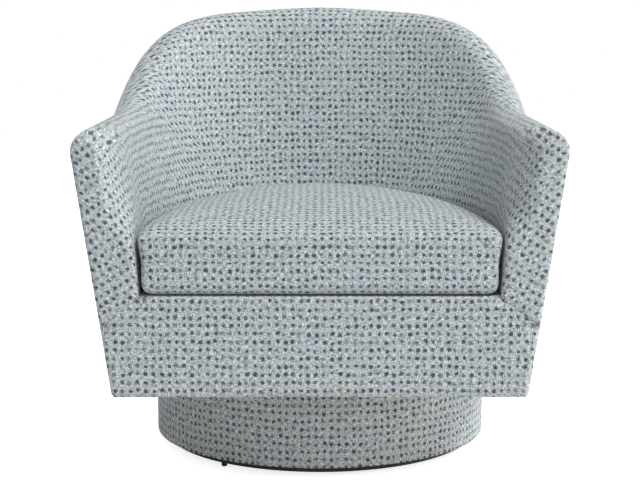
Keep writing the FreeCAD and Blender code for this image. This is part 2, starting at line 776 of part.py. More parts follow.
def crest_steps(station, inset, back=False):
    # Over the crest from the outer face to the inner face, or back again
    low = -station.outer_lean
    high = pi - station.inner_lean
    spots = [station.around(a, inset) for a in (low, (low + pi / 2) / 2, pi / 2,
                                                (pi / 2 + high) / 2, high)]
    if back:
        spots = spots[::-1]
    return spots[0], [(spots[1], spots[2]), (spots[3], spots[4])]


def band(near, far, low, high):
    # A layer in the wall between two depths from the outer face
    def profile(station):
        top = high(station)
        return ((station.outer(low, near), low),
                [(station.outer(top, near), top), (station.outer(top, far), top),
                 (station.outer(low, far), low)])
    return profile


def below_roll(drop):
    # The roll is the level where the outer face runs into the round of the crest
    return lambda station: station.roll - drop


def level(z):
    return lambda station: z


SEAT_TOP_Z = amount_of(SEAT_TOP)
SKIRT_Z = SEAT_Z - size("skirt_drop")
LAYER = CLOTH + GAP
RAIL_DEPTH = LAYER + size("rim_rail")
RIB_START = RAIL_DEPTH + size("fit_gap")
RIB_END = RIB_START + size("rib_depth")
PANEL_START = RIB_END + size("fit_gap")
PANEL_END = PANEL_START + size("shell_panel")
FOAM_START = PANEL_END + GAP
TOP_RAIL_DROP = size("top_rail_drop")
RIB_DROP = TOP_RAIL_DROP + size("top_rail_height")

# Barrel frame

wall = barrel_stations(FRAME_FRONT)
behind_rail = barrel_stations(RAIL_BACK + size("fit_gap"))
keep(solid(loft(behind_rail, band(LAYER, RAIL_DEPTH, SKIRT_Z + LAYER, level(SEAT_TOP_Z)))),
     "lower_rim_rail")


def plan_outline(stations, inset, z, inner=False):
    # Plan of the wall at one level, closed across the front
    spots = [station.point(station.inner(z) - inset if inner else station.outer(z) - inset, z)
             for station in stations]
    return Part.makePolygon(spots + spots[:1])


def board_from(stations, inset, z, thickness, inner=False):
    outline = plan_outline(stations, inset, z, inner)
    return Part.Face(outline).extrude(Vector(0, 0, thickness))


seat_board = solid(board_from(behind_rail, RIB_START, SEAT_Z, size("board")))
board_holes = group([cylinder(BOLT_HOLE, "Sizes.board", x, y, SEAT_BOTTOM)
                     for x, y in bracket_bolt_places])
keep(cut(seat_board, board_holes), "seat_board")

BOARD_GAP = size("fit_gap")


def rib(stations):
    drop = RIB_DROP + BOARD_GAP
    return loft(stations, band(RIB_START, RIB_END, SEAT_TOP_Z + BOARD_GAP, below_roll(drop)))


def arm_pair(start, end):
    return [rib([Station(90 * side, start), Station(90 * side, end)]) for side in SIDES]


keep(solid(Part.makeCompound(arm_pair(FRAME_FRONT, POST_BACK))), "front_posts")


def back_rib(turn):
    return rib([Station(turn - RIB_TURN), Station(turn), Station(turn + RIB_TURN)])


def side_rib(turn):
    return rib([Station(turn - RIB_TURN), Station(turn + RIB_TURN)])


arm_rib = -size("arm_rib_place")
ribs = arm_pair(arm_rib - HALF_RIB, arm_rib + HALF_RIB) + arm_pair(-HALF_RIB, HALF_RIB)
ribs += [side_rib(side * turn) for side in SIDES
         for turn in (size("rear_rib_turn"), size("side_rib_turn"))]
ribs.append(back_rib(0))
keep(solid(Part.makeCompound(ribs)), "frame_ribs")


def top_rail_profile(station):
    low = station.roll - RIB_DROP
    high = station.roll - TOP_RAIL_DROP
    return ((station.outer(low, RIB_START), low),
            [(station.outer(high, RIB_START), high), (station.outer(high, RIB_END), high),
             (station.outer(low, RIB_END), low)])


keep(solid(loft(wall, top_rail_profile)), "top_rail")
keep(solid(loft(wall, band(PANEL_START, PANEL_END, SEAT_TOP_Z + BOARD_GAP,
                           below_roll(TOP_RAIL_DROP)))), "shell_panel")

# Barrel padding and covers

keep(solid(loft(wall, band(LAYER, RAIL_DEPTH, SEAT_TOP_Z + GAP, below_roll(TOP_RAIL_DROP)))),
     "outside_pad")


def outside_cover_profile(station):
    top = station.roll - size("cover_turn_down")
    hem = SKIRT_Z + CLOTH
    under = size("skirt_wall")
    return ((station.outer(SKIRT_Z), SKIRT_Z),
            [(station.outer(top), top), (station.outer(top, CLOTH), top),
             (station.outer(hem, CLOTH), hem), (station.outer(hem, under), hem),
             (station.outer(SKIRT_Z, under), SKIRT_Z)])


cover_wall = barrel_stations(FRAME_FRONT - GAP)
keep(solid(loft(cover_wall, outside_cover_profile)), "outside_cover")


def foam_profile(station):
    step = station.roll - TOP_RAIL_DROP + GAP
    start, arcs = crest_steps(station, LAYER)
    return ((station.outer(step, LAYER), step),
            [start] + arcs
            + [(station.inner(LEVEL_Z, LAYER), LEVEL_Z), (station.inner(FOAM_Z, LAYER), FOAM_Z),
               (station.outer(FOAM_Z, FOAM_START), FOAM_Z),
               (station.outer(step, FOAM_START), step)])


keep(solid(loft(wall, foam_profile)), "barrel_foam")


def inside_cover_profile(station):
    edge = station.roll - size("cover_turn_down") + GAP
    over, arcs = crest_steps(station, 0.0)
    return_start, return_arcs = crest_steps(station, CLOTH, back=True)
    return ((station.outer(edge), edge),
            [over] + arcs
            + [(station.inner(LEVEL_Z), LEVEL_Z), (station.inner(FOAM_Z), FOAM_Z),
               (station.inner(FOAM_Z, CLOTH), FOAM_Z), (station.inner(LEVEL_Z, CLOTH), LEVEL_Z),
               return_start] + return_arcs + [(station.outer(edge, CLOTH), edge)])


MITRE_IN = SEAT_Z + size("mitre_inner_rise")
MITRE_OUT = SEAT_Z + size("mitre_outer_rise")
front_station = Station(90, FRONT_Y)
rail_station = Station(90, RAIL_BACK)


def rounded_front(face_wire, back, edge_round, mitre=None):
    # Slab behind a front outline, its front edges rounded except along the mitre seam
    front = face_wire.BoundBox.YMin
    slab = Part.Face(face_wire).extrude(Vector(0, back - front, 0))
    chosen = []
    for edge in slab.Edges:
        middle = edge.valueAt((edge.FirstParameter + edge.LastParameter) / 2)
        on_front = abs(middle.y - front) < 0.01 and edge.BoundBox.YLength < 0.01
        if on_front and not (mitre and mitre(middle)):
            chosen.append(edge)
    return slab.makeFillet(edge_round, chosen)


def mitre_z(x, lift=0.0):
    # Height of the mitre seam at a distance from the middle
    inner = front_station.inner(MITRE_IN)
    outer = front_station.outer(MITRE_OUT)
    return MITRE_IN + (MITRE_OUT - MITRE_IN) * (x - inner) / (outer - inner) + lift


def on_mitre(spot):
    return abs(spot.z - mitre_z(abs(spot.x))) < 3 and abs(spot.x) > front_station.inner(MITRE_IN) - 2


def arm_outline(side, inset, lift, y):
    station = Station(90 * side, FRONT_Y)
    inner_x = station.inner(MITRE_IN, inset)
    outer_x = station.outer(MITRE_OUT, inset)
    over, arcs = crest_steps(station, inset)
    wire = section(station, (outer_x, mitre_z(outer_x, lift)),
                   [over] + arcs + [(station.inner(LEVEL_Z, inset), LEVEL_Z),
                                    (inner_x, mitre_z(inner_x, lift))])
    return wire.translated(Vector(0, y - FRONT_Y, 0))


EDGE = size("front_edge_round")
SEAM = GAP / 2


def arm_front_cover(side):
    back = FRAME_FRONT - GAP
    outside = rounded_front(arm_outline(side, 0, SEAM, FRONT_Y), back, EDGE, on_mitre)
    inside = arm_outline(side, CLOTH, SEAM, FRONT_Y + CLOTH)
    hollow = rounded_front(inside, back + 1, EDGE - CLOTH, on_mitre)
    low = hollow.copy()
    low.translate(Vector(0, 0, -CLOTH * 2))
    return outside.cut(hollow).cut(low)


inside_parts = [loft(cover_wall, inside_cover_profile)] + [arm_front_cover(side) for side in SIDES]
keep(solid(Part.makeCompound(inside_parts)), "inside_cover")
keep(solid(Part.makeCompound([rounded_front(arm_outline(side, LAYER, SEAM, PAD_FRONT),
                                            FRAME_FRONT - GAP, EDGE - LAYER, on_mitre)
                              for side in SIDES])), "arm_front_pads")

# Front rail, its padding and its cover

DECK_Z = SEAT_Z + size("deck_rise")
RAIL_TOP_Z = SEAT_Z + size("rail_rise")
WIRE = size("seat_spring_wire")
CLIP_HEIGHT = 2 * WIRE + size("clip_wall") + size("running_gap")
PAD_LOW = RAIL_TOP_Z + CLIP_HEIGHT + GAP
LIP = FRAME_FRONT + size("front_lap")


def rail_outline(inset, lift, y):
    low = SKIRT_Z + inset
    out = front_station.outer
    inner_x = front_station.inner(MITRE_IN)
    half = [(out(low, inset), low), (out(MITRE_OUT, inset), mitre_z(out(MITRE_OUT, inset), -lift)),
            (inner_x, MITRE_IN - lift), (inner_x, DECK_Z - inset)]
    spots = [Vector(x, y, z) for x, z in half] + [Vector(-x, y, z) for x, z in reversed(half)]
    return Part.makePolygon(spots + spots[:1])


def top_strip(inset, low, front):
    half = front_station.inner(MITRE_IN) - LAYER
    return Part.makeBox(2 * half, LIP - front, DECK_Z - inset - low, Vector(-half, front, low))


def not_rounded(spot):
    return on_mitre(spot) or spot.z > MITRE_IN - 2 and abs(spot.x) > front_station.inner(MITRE_IN) - 2


rail_front = rounded_front(rail_outline(0, SEAM, FRONT_Y), FRAME_FRONT - GAP, EDGE, not_rounded)
rail_hollow = rounded_front(rail_outline(CLOTH, SEAM, FRONT_Y + CLOTH), FRAME_FRONT, EDGE - CLOTH,
                            not_rounded)
rail_cover = rail_front.cut(rail_hollow).fuse(top_strip(0, DECK_Z - CLOTH, FRAME_FRONT - GAP - 1))
keep(solid(rail_cover.removeSplitter()), "front_rail_cover")
rail_pad = rounded_front(rail_outline(LAYER, SEAM, PAD_FRONT), FRAME_FRONT - GAP, EDGE - LAYER,
                         not_rounded)
keep(solid(rail_pad.fuse(top_strip(LAYER, PAD_LOW, FRAME_FRONT - GAP - 1))),
     "front_rail_foam")

rail_low = SKIRT_Z + LAYER
rail_upper = rail_station.outer(SEAT_TOP_Z, FOAM_START)
rail_spots = [(rail_station.outer(rail_low, LAYER), rail_low),
              (rail_station.outer(SEAT_TOP_Z, LAYER), SEAT_TOP_Z),
              (rail_upper, SEAT_TOP_Z), (rail_upper, RAIL_TOP_Z)]
rail_spots += [(-x, z) for x, z in reversed(rail_spots)]
rail_face = Part.makePolygon([Vector(x, FRAME_FRONT, z) for x, z in rail_spots + rail_spots[:1]])
keep(solid(Part.Face(rail_face).extrude(Vector(0, size("front_rail"), 0))), "front_rail")

# Seat deck inside the barrel

rail_front_y = "(-Sizes.front_depth + Sizes.cloth + Sizes.layer_gap + Sizes.front_pad)"
side_front = f"({rail_front_y} + Sizes.front_rail + Sizes.fit_gap)"
side_length = f"(Sizes.back_rail_place - Sizes.fit_gap - {side_front})"
rail_tall = "(Sizes.rail_rise - Sizes.board)"
keep(group([box("Sizes.side_rail", side_length, rail_tall, "Sizes.side_rail_place", side_front,
                SEAT_TOP),
            box("Sizes.side_rail", side_length, rail_tall,
                "-Sizes.side_rail_place - Sizes.side_rail", side_front, SEAT_TOP)]), "side_rails")
rail_reach = "(Sizes.side_rail_place + Sizes.side_rail)"
keep(box(f"2*{rail_reach}", "Sizes.side_rail", rail_tall, f"-{rail_reach}",
         "Sizes.back_rail_place", SEAT_TOP), "back_rail")

block = "Sizes.corner_block"
block_x = "(Sizes.side_rail_place - Sizes.fit_gap)"
block_front = f"({side_front} + Sizes.fit_gap)"
block_back = "(Sizes.back_rail_place - Sizes.fit_gap)"


def corner_block(side, y, inward):
    corners = [(f"{side}*{block_x}", y), (f"{side}*({block_x} - {block})", y),
               (f"{side}*{block_x}", f"{y} + {inward}*{block}")]
    if side * inward > 0:
        corners = corners[::-1]
    return padded(corners, "Sizes.corner_block_height", SEAT_TOP)


keep(group([corner_block(side, y, inward) for side in SIDES
            for y, inward in ((block_front, 1), (block_back, -1))]), "corner_blocks")

WIRE_Z = RAIL_TOP_Z + WIRE + size("running_gap")
FIRST_RUN = FRAME_FRONT + size("front_rail") / 2
LAST_RUN = size("back_rail_place") + size("side_rail") / 2
RUN_STEP = (LAST_RUN - FIRST_RUN) / (SEAT_SPRING_RUNS - 1)


def sinuous_spring(x):
    # Flat zigzag of straight runs joined by round bends
    bend_radius = RUN_STEP / 2
    half = size("seat_spring_half") - bend_radius
    edges = []
    side = 1
    for run in range(SEAT_SPRING_RUNS):
        y = FIRST_RUN + run * RUN_STEP
        end = Vector(x + side * half, y, WIRE_Z)
        edges.append(Part.makeLine(Vector(x - side * half, y, WIRE_Z), end))
        if run < SEAT_SPRING_RUNS - 1:
            middle = Vector(end.x + side * bend_radius, y + bend_radius, WIRE_Z)
            quarter = bend_radius * cos(pi / 4)
            last = Vector(end.x, y + RUN_STEP, WIRE_Z)
            near = Vector(end.x + side * quarter, y + bend_radius - quarter, WIRE_Z)
            far = Vector(end.x + side * quarter, y + bend_radius + quarter, WIRE_Z)
            edges.append(Part.Arc(end, near, middle).toShape())
            edges.append(Part.Arc(middle, far, last).toShape())
        side = -side
    start = edges[0].valueAt(edges[0].FirstParameter)
    profile = Part.Wire(Part.makeCircle(WIRE, start, Vector(1, 0, 0)))
    return Part.Wire(edges).makePipeShell([profile], True, False)


spring_rows = [(k - (SEAT_SPRING_COUNT - 1) / 2) * size("seat_spring_pitch")
               for k in range(SEAT_SPRING_COUNT)]
keep(solid(Part.makeCompound([sinuous_spring(x) for x in spring_rows])), "sinuous_springs")


def spring_clip(x, y):
    # Folded steel clip that holds the end run of a seat spring down on its rail
    width = size("clip_width")
    depth = size("clip_depth")
    low = RAIL_TOP_Z
    corner = Vector(x - width / 2, y - depth / 2, low)
    block_shape = Part.makeBox(width, depth, CLIP_HEIGHT, corner)
    radius = WIRE + size("running_gap")
    tunnel = Part.makeCylinder(radius, width, Vector(x - width / 2, y, WIRE_Z), Vector(1, 0, 0))
    slot = Part.makeBox(width, 2 * radius, WIRE_Z - low, Vector(x - width / 2, y - radius, low))
    return block_shape.cut(tunnel).cut(slot)


keep(solid(Part.makeCompound([spring_clip(x, y) for x in spring_rows
                              for y in (FIRST_RUN, LAST_RUN)])), "spring_clips")

COVER_LOW = DECK_Z - size("deck_cloth")
PAD_HEIGHT = COVER_LOW - GAP - PAD_LOW
behind_lip = barrel_stations(LIP + GAP)
keep(solid(board_from(behind_lip, size("deck_side_gap"), PAD_LOW, PAD_HEIGHT, inner=True)),
     "deck_pad")
keep(solid(board_from(behind_lip, size("deck_side_gap"), COVER_LOW, size("deck_cloth"),
                      inner=True)), "deck_cover")

# Seat cushion: a loose box with a crowned top

CUSHION_Z = DECK_Z + GAP
FRONT_ROUND = size("cushion_front_round")


def cushion_levels(inset):
    # (height, how far the outline is drawn in, scale) from the underside over the crown
    side = DECK_Z + size("cushion_side")
    top = DECK_Z + size("cushion_height")
    middle = (CUSHION_Z + side) / 2
    edge = FRONT_ROUND
    sides = [(CUSHION_Z + inset, edge * 0.7 + inset, 1),
             (CUSHION_Z + edge * 0.3 + inset, edge * 0.25 + inset, 1),
             (CUSHION_Z + edge + inset, inset, 1), (middle, size("cushion_draw_in") + inset, 1),
             (side - edge - inset, inset, 1), (side - edge * 0.3 - inset, edge * 0.25 + inset, 1),
             (side - inset, edge + inset, 1)]
    crown = [(side + (top - side) * (1 - scale**2)**0.8 - inset, edge + inset, scale)
             for scale in (0.86, 0.66, 0.42, 0.2)]
    return sides + crown


def cushion_outline(z, drawn_in, scale):
    # The outline follows the inside of the barrel, and the crown draws it towards the middle
    gap = size("cushion_side_gap") + drawn_in
    front = FRONT_Y + drawn_in
    corner = FRONT_ROUND / 2
    wall_z = min(z, DECK_Z + size("cushion_side"))
    spots = [station.point(station.inner(wall_z) - gap, z)
             for station in barrel_stations(front + corner)]
    right = spots[-1].x - corner
    spots += [Vector(right, front, z), Vector(-right, front, z)]
    back = max(spot.y for spot in spots)
    middle = Vector(0, (front + back) / 2, z)
    spots = [middle + (spot - middle) * scale for spot in spots]
    return Part.makePolygon(spots + spots[:1])


def cushion_solid(inset):
    return Part.makeLoft([cushion_outline(*place) for place in cushion_levels(inset)], True, True)


def zip_slot(spare):
    back = Station(0)
    z = CUSHION_Z + size("zip_rise")
    depth = 4 * size("zip_height")
    length = size("zip_length") + 2 * spare
    height = size("zip_height") + 2 * spare
    y = back.point(back.inner(z) - depth, z).y
    return Part.makeBox(length, 2 * depth, height, Vector(-length / 2, y, z - height / 2))


cushion_outside = cushion_solid(0)
cushion_inside = cushion_solid(CLOTH)
cushion_shell = cushion_outside.cut(cushion_inside)
keep(solid(cushion_shell.cut(zip_slot(size("running_gap")))), "cushion_cover")
keep(solid(cushion_shell.common(zip_slot(0))), "cushion_zip")
keep(solid(cushion_solid(CLOTH + GAP / 3)), "cushion_foam")

# Build, check and write

doc.recompute()
for item in doc.Objects:
    assert not {"Invalid", "Error"} & set(item.State), f"{item.Label}: {item.State}"
assert len({item.Label for item in nodes}) == len(nodes)
for item in nodes:
    shape = item.Shape
    assert not shape.isNull() and shape.isValid(), item.Label
    assert shape.Solids, item.Label
os.makedirs("parts", exist_ok=True)
for item in nodes:
    item.Shape.exportStep(f"parts/{item.Label}.step")
    print(f"{item.Label}: {len(item.Shape.Solids)} solids, {item.Shape.Volume / 1000:.1f} cm3")
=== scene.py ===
# %% [markdown]
# A swivel rocker is an upholstered tub on a round, fabric-covered drum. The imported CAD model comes
# in first as a fixed frame. It carries the joints, so every soft piece made here rides on one of
# its bodies: the drum, the tub or the loose seat cushion.

# %% Load the frame
import bmesh
import bpy
import json
from math import asin, atan2, cos, hypot, pi, radians, sin, sqrt, tan
from mathutils import Matrix, Vector


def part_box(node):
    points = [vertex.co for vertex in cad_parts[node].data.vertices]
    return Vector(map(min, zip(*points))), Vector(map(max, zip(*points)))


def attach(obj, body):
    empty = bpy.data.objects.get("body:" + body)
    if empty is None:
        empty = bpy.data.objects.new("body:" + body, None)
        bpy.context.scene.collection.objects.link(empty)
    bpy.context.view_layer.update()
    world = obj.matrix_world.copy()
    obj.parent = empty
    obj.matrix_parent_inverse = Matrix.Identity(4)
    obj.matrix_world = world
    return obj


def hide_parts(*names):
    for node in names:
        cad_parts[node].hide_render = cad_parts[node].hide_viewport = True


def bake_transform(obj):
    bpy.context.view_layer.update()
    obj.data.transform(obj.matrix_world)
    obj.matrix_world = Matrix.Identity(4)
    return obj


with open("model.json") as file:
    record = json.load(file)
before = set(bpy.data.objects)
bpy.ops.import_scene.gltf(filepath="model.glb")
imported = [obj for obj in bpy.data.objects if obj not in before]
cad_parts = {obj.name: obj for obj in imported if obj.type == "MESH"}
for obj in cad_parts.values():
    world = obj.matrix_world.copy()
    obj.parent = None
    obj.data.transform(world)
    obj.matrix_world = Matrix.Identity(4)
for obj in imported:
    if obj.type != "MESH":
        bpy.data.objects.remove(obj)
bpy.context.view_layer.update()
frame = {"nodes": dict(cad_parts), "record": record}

cad = frame["nodes"]
MM = 0.001

# %% [markdown]
# The photograph was taken straight from the front, from about 2.8 m away and a little above the
# rim, with a long lens. A longer lens from further back keeps the drum's ellipse flat, and a
# smaller tilt would hide the crown of the cushion.

# %% Camera
camera_data = bpy.data.cameras.new("photo_camera")
camera_data.sensor_width = 36
camera_data.lens = 85.27
camera = bpy.data.objects.new("photo_camera", camera_data)
bpy.context.scene.collection.objects.link(camera)
camera.location = (0, -2.8, 0.7668)
camera.rotation_euler = (radians(90 - 8.119), 0, 0)
bpy.context.scene.camera = camera
print("camera at", tuple(round(v, 3) for v in camera.location))

# %% [markdown]
# Materials are small node trees. One function adds a node with its settings and its links, and
# one turns an sRGB hex colour, as a painter would name it, into the linear numbers Blender mixes.

# %% Node and colour helpers
def linear(hex_colour):
    parts = [int(hex_colour[k:k + 2], 16) / 255 for k in (1, 3, 5)]
    return tuple(p / 12.92 if p < 0.04045 else ((p + 0.055) / 1.055)**2.4 for p in parts) + (1,)


def add(tree, kind, settings=None, inputs=None):
    node = tree.nodes.new(kind)
    for name, value in (settings or {}).items():
        setattr(node, name, value)
    for name, value in (inputs or {}).items():
        if isinstance(value, bpy.types.NodeSocket):
            tree.links.new(value, node.inputs[name])
        else:
            node.inputs[name].default_value = value
    return node


def new_material(name, **surface):
    material = bpy.data.materials.new(name)
    material.use_nodes = True
    tree = material.node_tree
    shader = tree.nodes["Principled BSDF"]
    for socket, value in surface.items():
        shader.inputs[socket.replace("_", " ")].default_value = value
    return material, tree, shader


def maths(tree, operation, *values):
    return add(tree, "ShaderNodeMath", {"operation": operation},
               dict(enumerate(values))).outputs[0]

# %% [markdown]
# The cover is a tweed of pale blue-grey yarn with slate tufts woven in on a loose grid, 12.5 mm
# apart across and 13.3 mm up. An image could carry such a pattern, but it would blur close up, so
# it is drawn by nodes. The grid follows the cloth, not the room, so every cover carries a UV map
# in metres called weave. Each tuft is a spot in its own cell of that grid: a random number for
# the cell moves it, sizes it and fades it, as hand-fed yarn would.

# %% Tweed: tufts
TUFT_ACROSS = 0.0125
TUFT_UP = 0.0133
TUFT_RADIUS = 0.0032
TUFT_GROWTH = 0.0011
TUFT_BLUR = 0.0011
ROW_SWAY = 0.002
# The noise that frays a tuft's outline: its height, and the part of it that only adds size
FRAY = 0.0052
FRAY_MIDDLE = 0.0020


def vectors(tree, operation, *values):
    return add(tree, "ShaderNodeVectorMath", {"operation": operation},
               dict(enumerate(values))).outputs[0]


def noise(tree, place, scale, detail):
    return add(tree, "ShaderNodeTexNoise", {"noise_dimensions": "2D"},
               {"Vector": place, "Scale": scale, "Detail": detail})


def tuft_cover(tree, cloth):
    # Rows wander a little, as the cloth is pulled over the padding
    sway = noise(tree, cloth, 11, 1)
    offset = vectors(tree, "MULTIPLY_ADD", sway.outputs["Color"], (2 * ROW_SWAY, 2 * ROW_SWAY, 0),
                     (-ROW_SWAY, -ROW_SWAY, 0))
    swayed = vectors(tree, "ADD", cloth, offset)

    # Each cell draws two random numbers, the second from a cell far off
    cells = vectors(tree, "DIVIDE", swayed, (TUFT_ACROSS, TUFT_UP, 1))
    cell = vectors(tree, "FLOOR", cells)
    far_cell = vectors(tree, "ADD", cell, (37, 91, 0))
    chance = add(tree, "ShaderNodeTexWhiteNoise", {"noise_dimensions": "2D"}, {"Vector": cell})
    other = add(tree, "ShaderNodeTexWhiteNoise", {"noise_dimensions": "2D"}, {"Vector": far_cell})

    # The tuft stands near the middle of its cell, at a distance taken in metres
    inside = vectors(tree, "FRACTION", cells)
    middle = vectors(tree, "MULTIPLY_ADD", chance.outputs["Color"], (0.3, 0.26, 0), (0.35, 0.37, 0))
    away = vectors(tree, "SUBTRACT", inside, middle)
    away = vectors(tree, "MULTIPLY", away, (TUFT_ACROSS, TUFT_UP, 0))
    distance = add(tree, "ShaderNodeVectorMath", {"operation": "LENGTH"}, {0: away})
    frayed = maths(tree, "MULTIPLY_ADD", noise(tree, cloth, 380, 2).outputs["Fac"], FRAY,
                   distance.outputs["Value"])
    radius = maths(tree, "MULTIPLY_ADD", other.outputs["Value"], TUFT_GROWTH,
                   TUFT_RADIUS + FRAY_MIDDLE)
    tuft = add(tree, "ShaderNodeMapRange", {"interpolation_type": "SMOOTHSTEP"},
               {"Value": maths(tree, "SUBTRACT", frayed, radius), "From Min": -TUFT_BLUR,
                "From Max": TUFT_BLUR, "To Min": 1.0, "To Max": 0.0}).outputs["Result"]

    # Some tufts are thin, and thin ones come in patches
    patch = noise(tree, cloth, 26, 2).outputs["Fac"]
    faded = add(tree, "ShaderNodeMapRange", {},
                {"Value": maths(tree, "ADD", chance.outputs["Value"], patch), "From Min": 0.5,
                 "From Max": 1.1, "To Min": 0.6, "To Max": 1.0}).outputs["Result"]
    return maths(tree, "MULTIPLY", tuft, faded)

# %% [markdown]
# The yarns are half a millimetre thick, too fine for the photograph's pixels, so they are drawn
# about twice as coarse, as streaks along the warp and the weft. Pale streaks are yarns on top and
# dark ones the gaps between. A second ramp gives the ground a faint warm or cool cast in places,
# and a third turns the tufts' slate a little green or a little purple.

# %% Tweed: yarns
YARN_FINE = 900
YARN_LONG = 130


def streaks(tree, cloth):
    warp = noise(tree, vectors(tree, "MULTIPLY", cloth, (YARN_FINE, YARN_LONG, 1)), 1, 2)
    weft = noise(tree, vectors(tree, "MULTIPLY", cloth, (YARN_LONG, YARN_FINE, 1)), 1, 2)
    return maths(tree, "MULTIPLY", maths(tree, "ADD", warp.outputs["Fac"], weft.outputs["Fac"]),
                 0.5)


def colour_ramp(tree, value, *stops):
    # Each stop is a position and a hex colour, from low to high
    ramp = add(tree, "ShaderNodeValToRGB", {}, {"Fac": value})
    elements = ramp.color_ramp.elements
    (elements[0].position, low), (elements[1].position, high) = stops[0], stops[-1]
    elements[0].color, elements[1].color = linear(low), linear(high)
    for position, colour in stops[1:-1]:
        elements.new(position).color = linear(colour)
    return ramp.outputs["Color"]

# %% [markdown]
# The whole cloth is the ground with the tufts laid over it. Its relief comes from the same masks
# as its colour, so a tuft stands up just where it is dark. Real cloth has no sharp highlight,
# which is why the roughness is high and a little sheen takes its place.

# %% Tweed: the whole cloth
def tweed(name):
    # Wool is dull, with a soft sheen of loose fibres at a low angle
    material, tree, shader = new_material(name, Roughness=0.93, Sheen_Weight=0.22,
                                          Sheen_Roughness=0.45, Specular_IOR_Level=0.25)
    cloth = add(tree, "ShaderNodeUVMap", {"uv_map": "weave"}).outputs["UV"]
    tuft = tuft_cover(tree, cloth)
    yarn = streaks(tree, cloth)
    ground = colour_ramp(tree, yarn, (0.38, "#6f7a7f"), (0.5, "#b0b8ba"), (0.63, "#e8ebeb"))
    cast = colour_ramp(tree, noise(tree, cloth, 34, 1).outputs["Fac"],
                       (0.36, "#fafaf6"), (0.64, "#f7f7fb"))
    yarns = add(tree, "ShaderNodeMix", {"data_type": "RGBA", "blend_type": "MULTIPLY"},
                {"Factor": 1.0, "A": ground, "B": cast}).outputs["Result"]
    slate = colour_ramp(tree, noise(tree, cloth, 19, 1).outputs["Fac"],
                        (0.36, "#465151"), (0.5, "#424c50"), (0.64, "#4c4f5e"))
    coloured = add(tree, "ShaderNodeMix", {"data_type": "RGBA"},
                   {"Factor": tuft, "A": yarns, "B": slate})
    tree.links.new(coloured.outputs["Result"], shader.inputs["Base Color"])
    height = maths(tree, "MULTIPLY_ADD", tuft, 0.6, yarn)
    bump = add(tree, "ShaderNodeBump", {}, {"Height": height, "Strength": 0.5, "Distance": 0.0006})
    tree.links.new(bump.outputs["Normal"], shader.inputs["Normal"])
    return material


cover_tweed = tweed("slate_tuft_tweed")
print("tweed:", len(cover_tweed.node_tree.nodes), "nodes")

# %% [markdown]
# The tub has no flat panel but its front. It could be one sculpted surface, but a row of formulas
# keeps every cover in touch with its neighbours. A cross-section stands at every place along the
# rim: straight inner face, round crest, straight outer face. Seen from above, the rim is a
# rounded oblong and the seat inside it a narrower one, both kept in millimetres as in the frame.

# %% Plans of the rim and of the seat
FRONT_Y = -408.0
CENTRE_Y = 30.0
RIM_SIDE = 351
RIM_BACK = 328
RIM_SQUARENESS = 2.55
ARM_FLARE = 10
SEAT_HALF_WIDTH = 299
SEAT_FRONT = 350
SEAT_LENGTH = 550
SEAT_SQUARENESS = 2.15


def rim_reach(turn):
    return (abs(sin(radians(turn)) / RIM_SIDE)**RIM_SQUARENESS
            + abs(cos(radians(turn)) / RIM_BACK)**RIM_SQUARENESS)**(-1 / RIM_SQUARENESS)


def seat_reach(turn, y):
    # The inner faces taper from the front of the arms to a round back, found by halving steps
    near, far = 0.0, 850.0
    for _ in range(40):
        reach = (near + far) / 2
        deep = max(y + reach * cos(radians(turn)) + SEAT_FRONT, 0)
        wide = abs(reach * sin(radians(turn)))
        if ((wide / SEAT_HALF_WIDTH)**SEAT_SQUARENESS
                + (deep / SEAT_LENGTH)**SEAT_SQUARENESS) < 1:
            near = reach
        else:
            far = reach
    return near


def rim_run(turn):
    # Length of the rim from the middle of the back to this turn, added up a degree at a time
    steps = max(1, round(abs(turn)))
    reach = [(rim_reach(a), radians(a)) for a in (abs(turn) * k / steps for k in range(steps + 1))]
    spots = [(r * sin(a), r * cos(a)) for r, a in reach]
    return sum(hypot(b[0] - a[0], b[1] - a[1]) for a, b in zip(spots, spots[1:]))


HALF_RUN = rim_run(90) + hypot(CENTRE_Y - FRONT_Y, ARM_FLARE)
print("rim:", round(2 * HALF_RUN), "mm from arm to arm")

# %% [markdown]
# The rim falls from the back to the arms in one long curve, and the wall under it leans outward
# all round, a little more at the sides. Sculpting that by eye would leave waves in it. Here each
# height and lean is a smooth function of the way along the rim, so the whole wall is fair.

# %% Heights and leans of the wall
SKIRT_Z = 166.7
WALL_FOOT = 330.0
MITRE_OUT = 283.0
DECK_Z = 333.2
SEAT_Z = 236.0
LEVEL_Z = SEAT_Z + 204
RIM_RISE = 564
BACK_ARCH = 10.5
ARCH_SHARE = 0.3
DROP = 168
DROP_FROM = 0.17
DROP_SPAN = 0.49
RIM_FALL = 20
BACK_CREST = 50
CREST_NARROWING = 14
BACK_LEAN = 5.5
SIDE_LEAN = 3
UPRIGHT_LEAN = radians(4)


def rim_height(share):
    # A faint arch at the back, one long drop to the arms, and a steady fall to their fronts
    arch = (1 - cos(pi * min(share / ARCH_SHARE, 1))) / 2
    slope = min(max((share - DROP_FROM) / DROP_SPAN, 0), 1)
    drop = slope**2 / (slope**2 + (1 - slope)**2)
    return SEAT_Z + RIM_RISE - BACK_ARCH * arch - DROP * drop - RIM_FALL * share


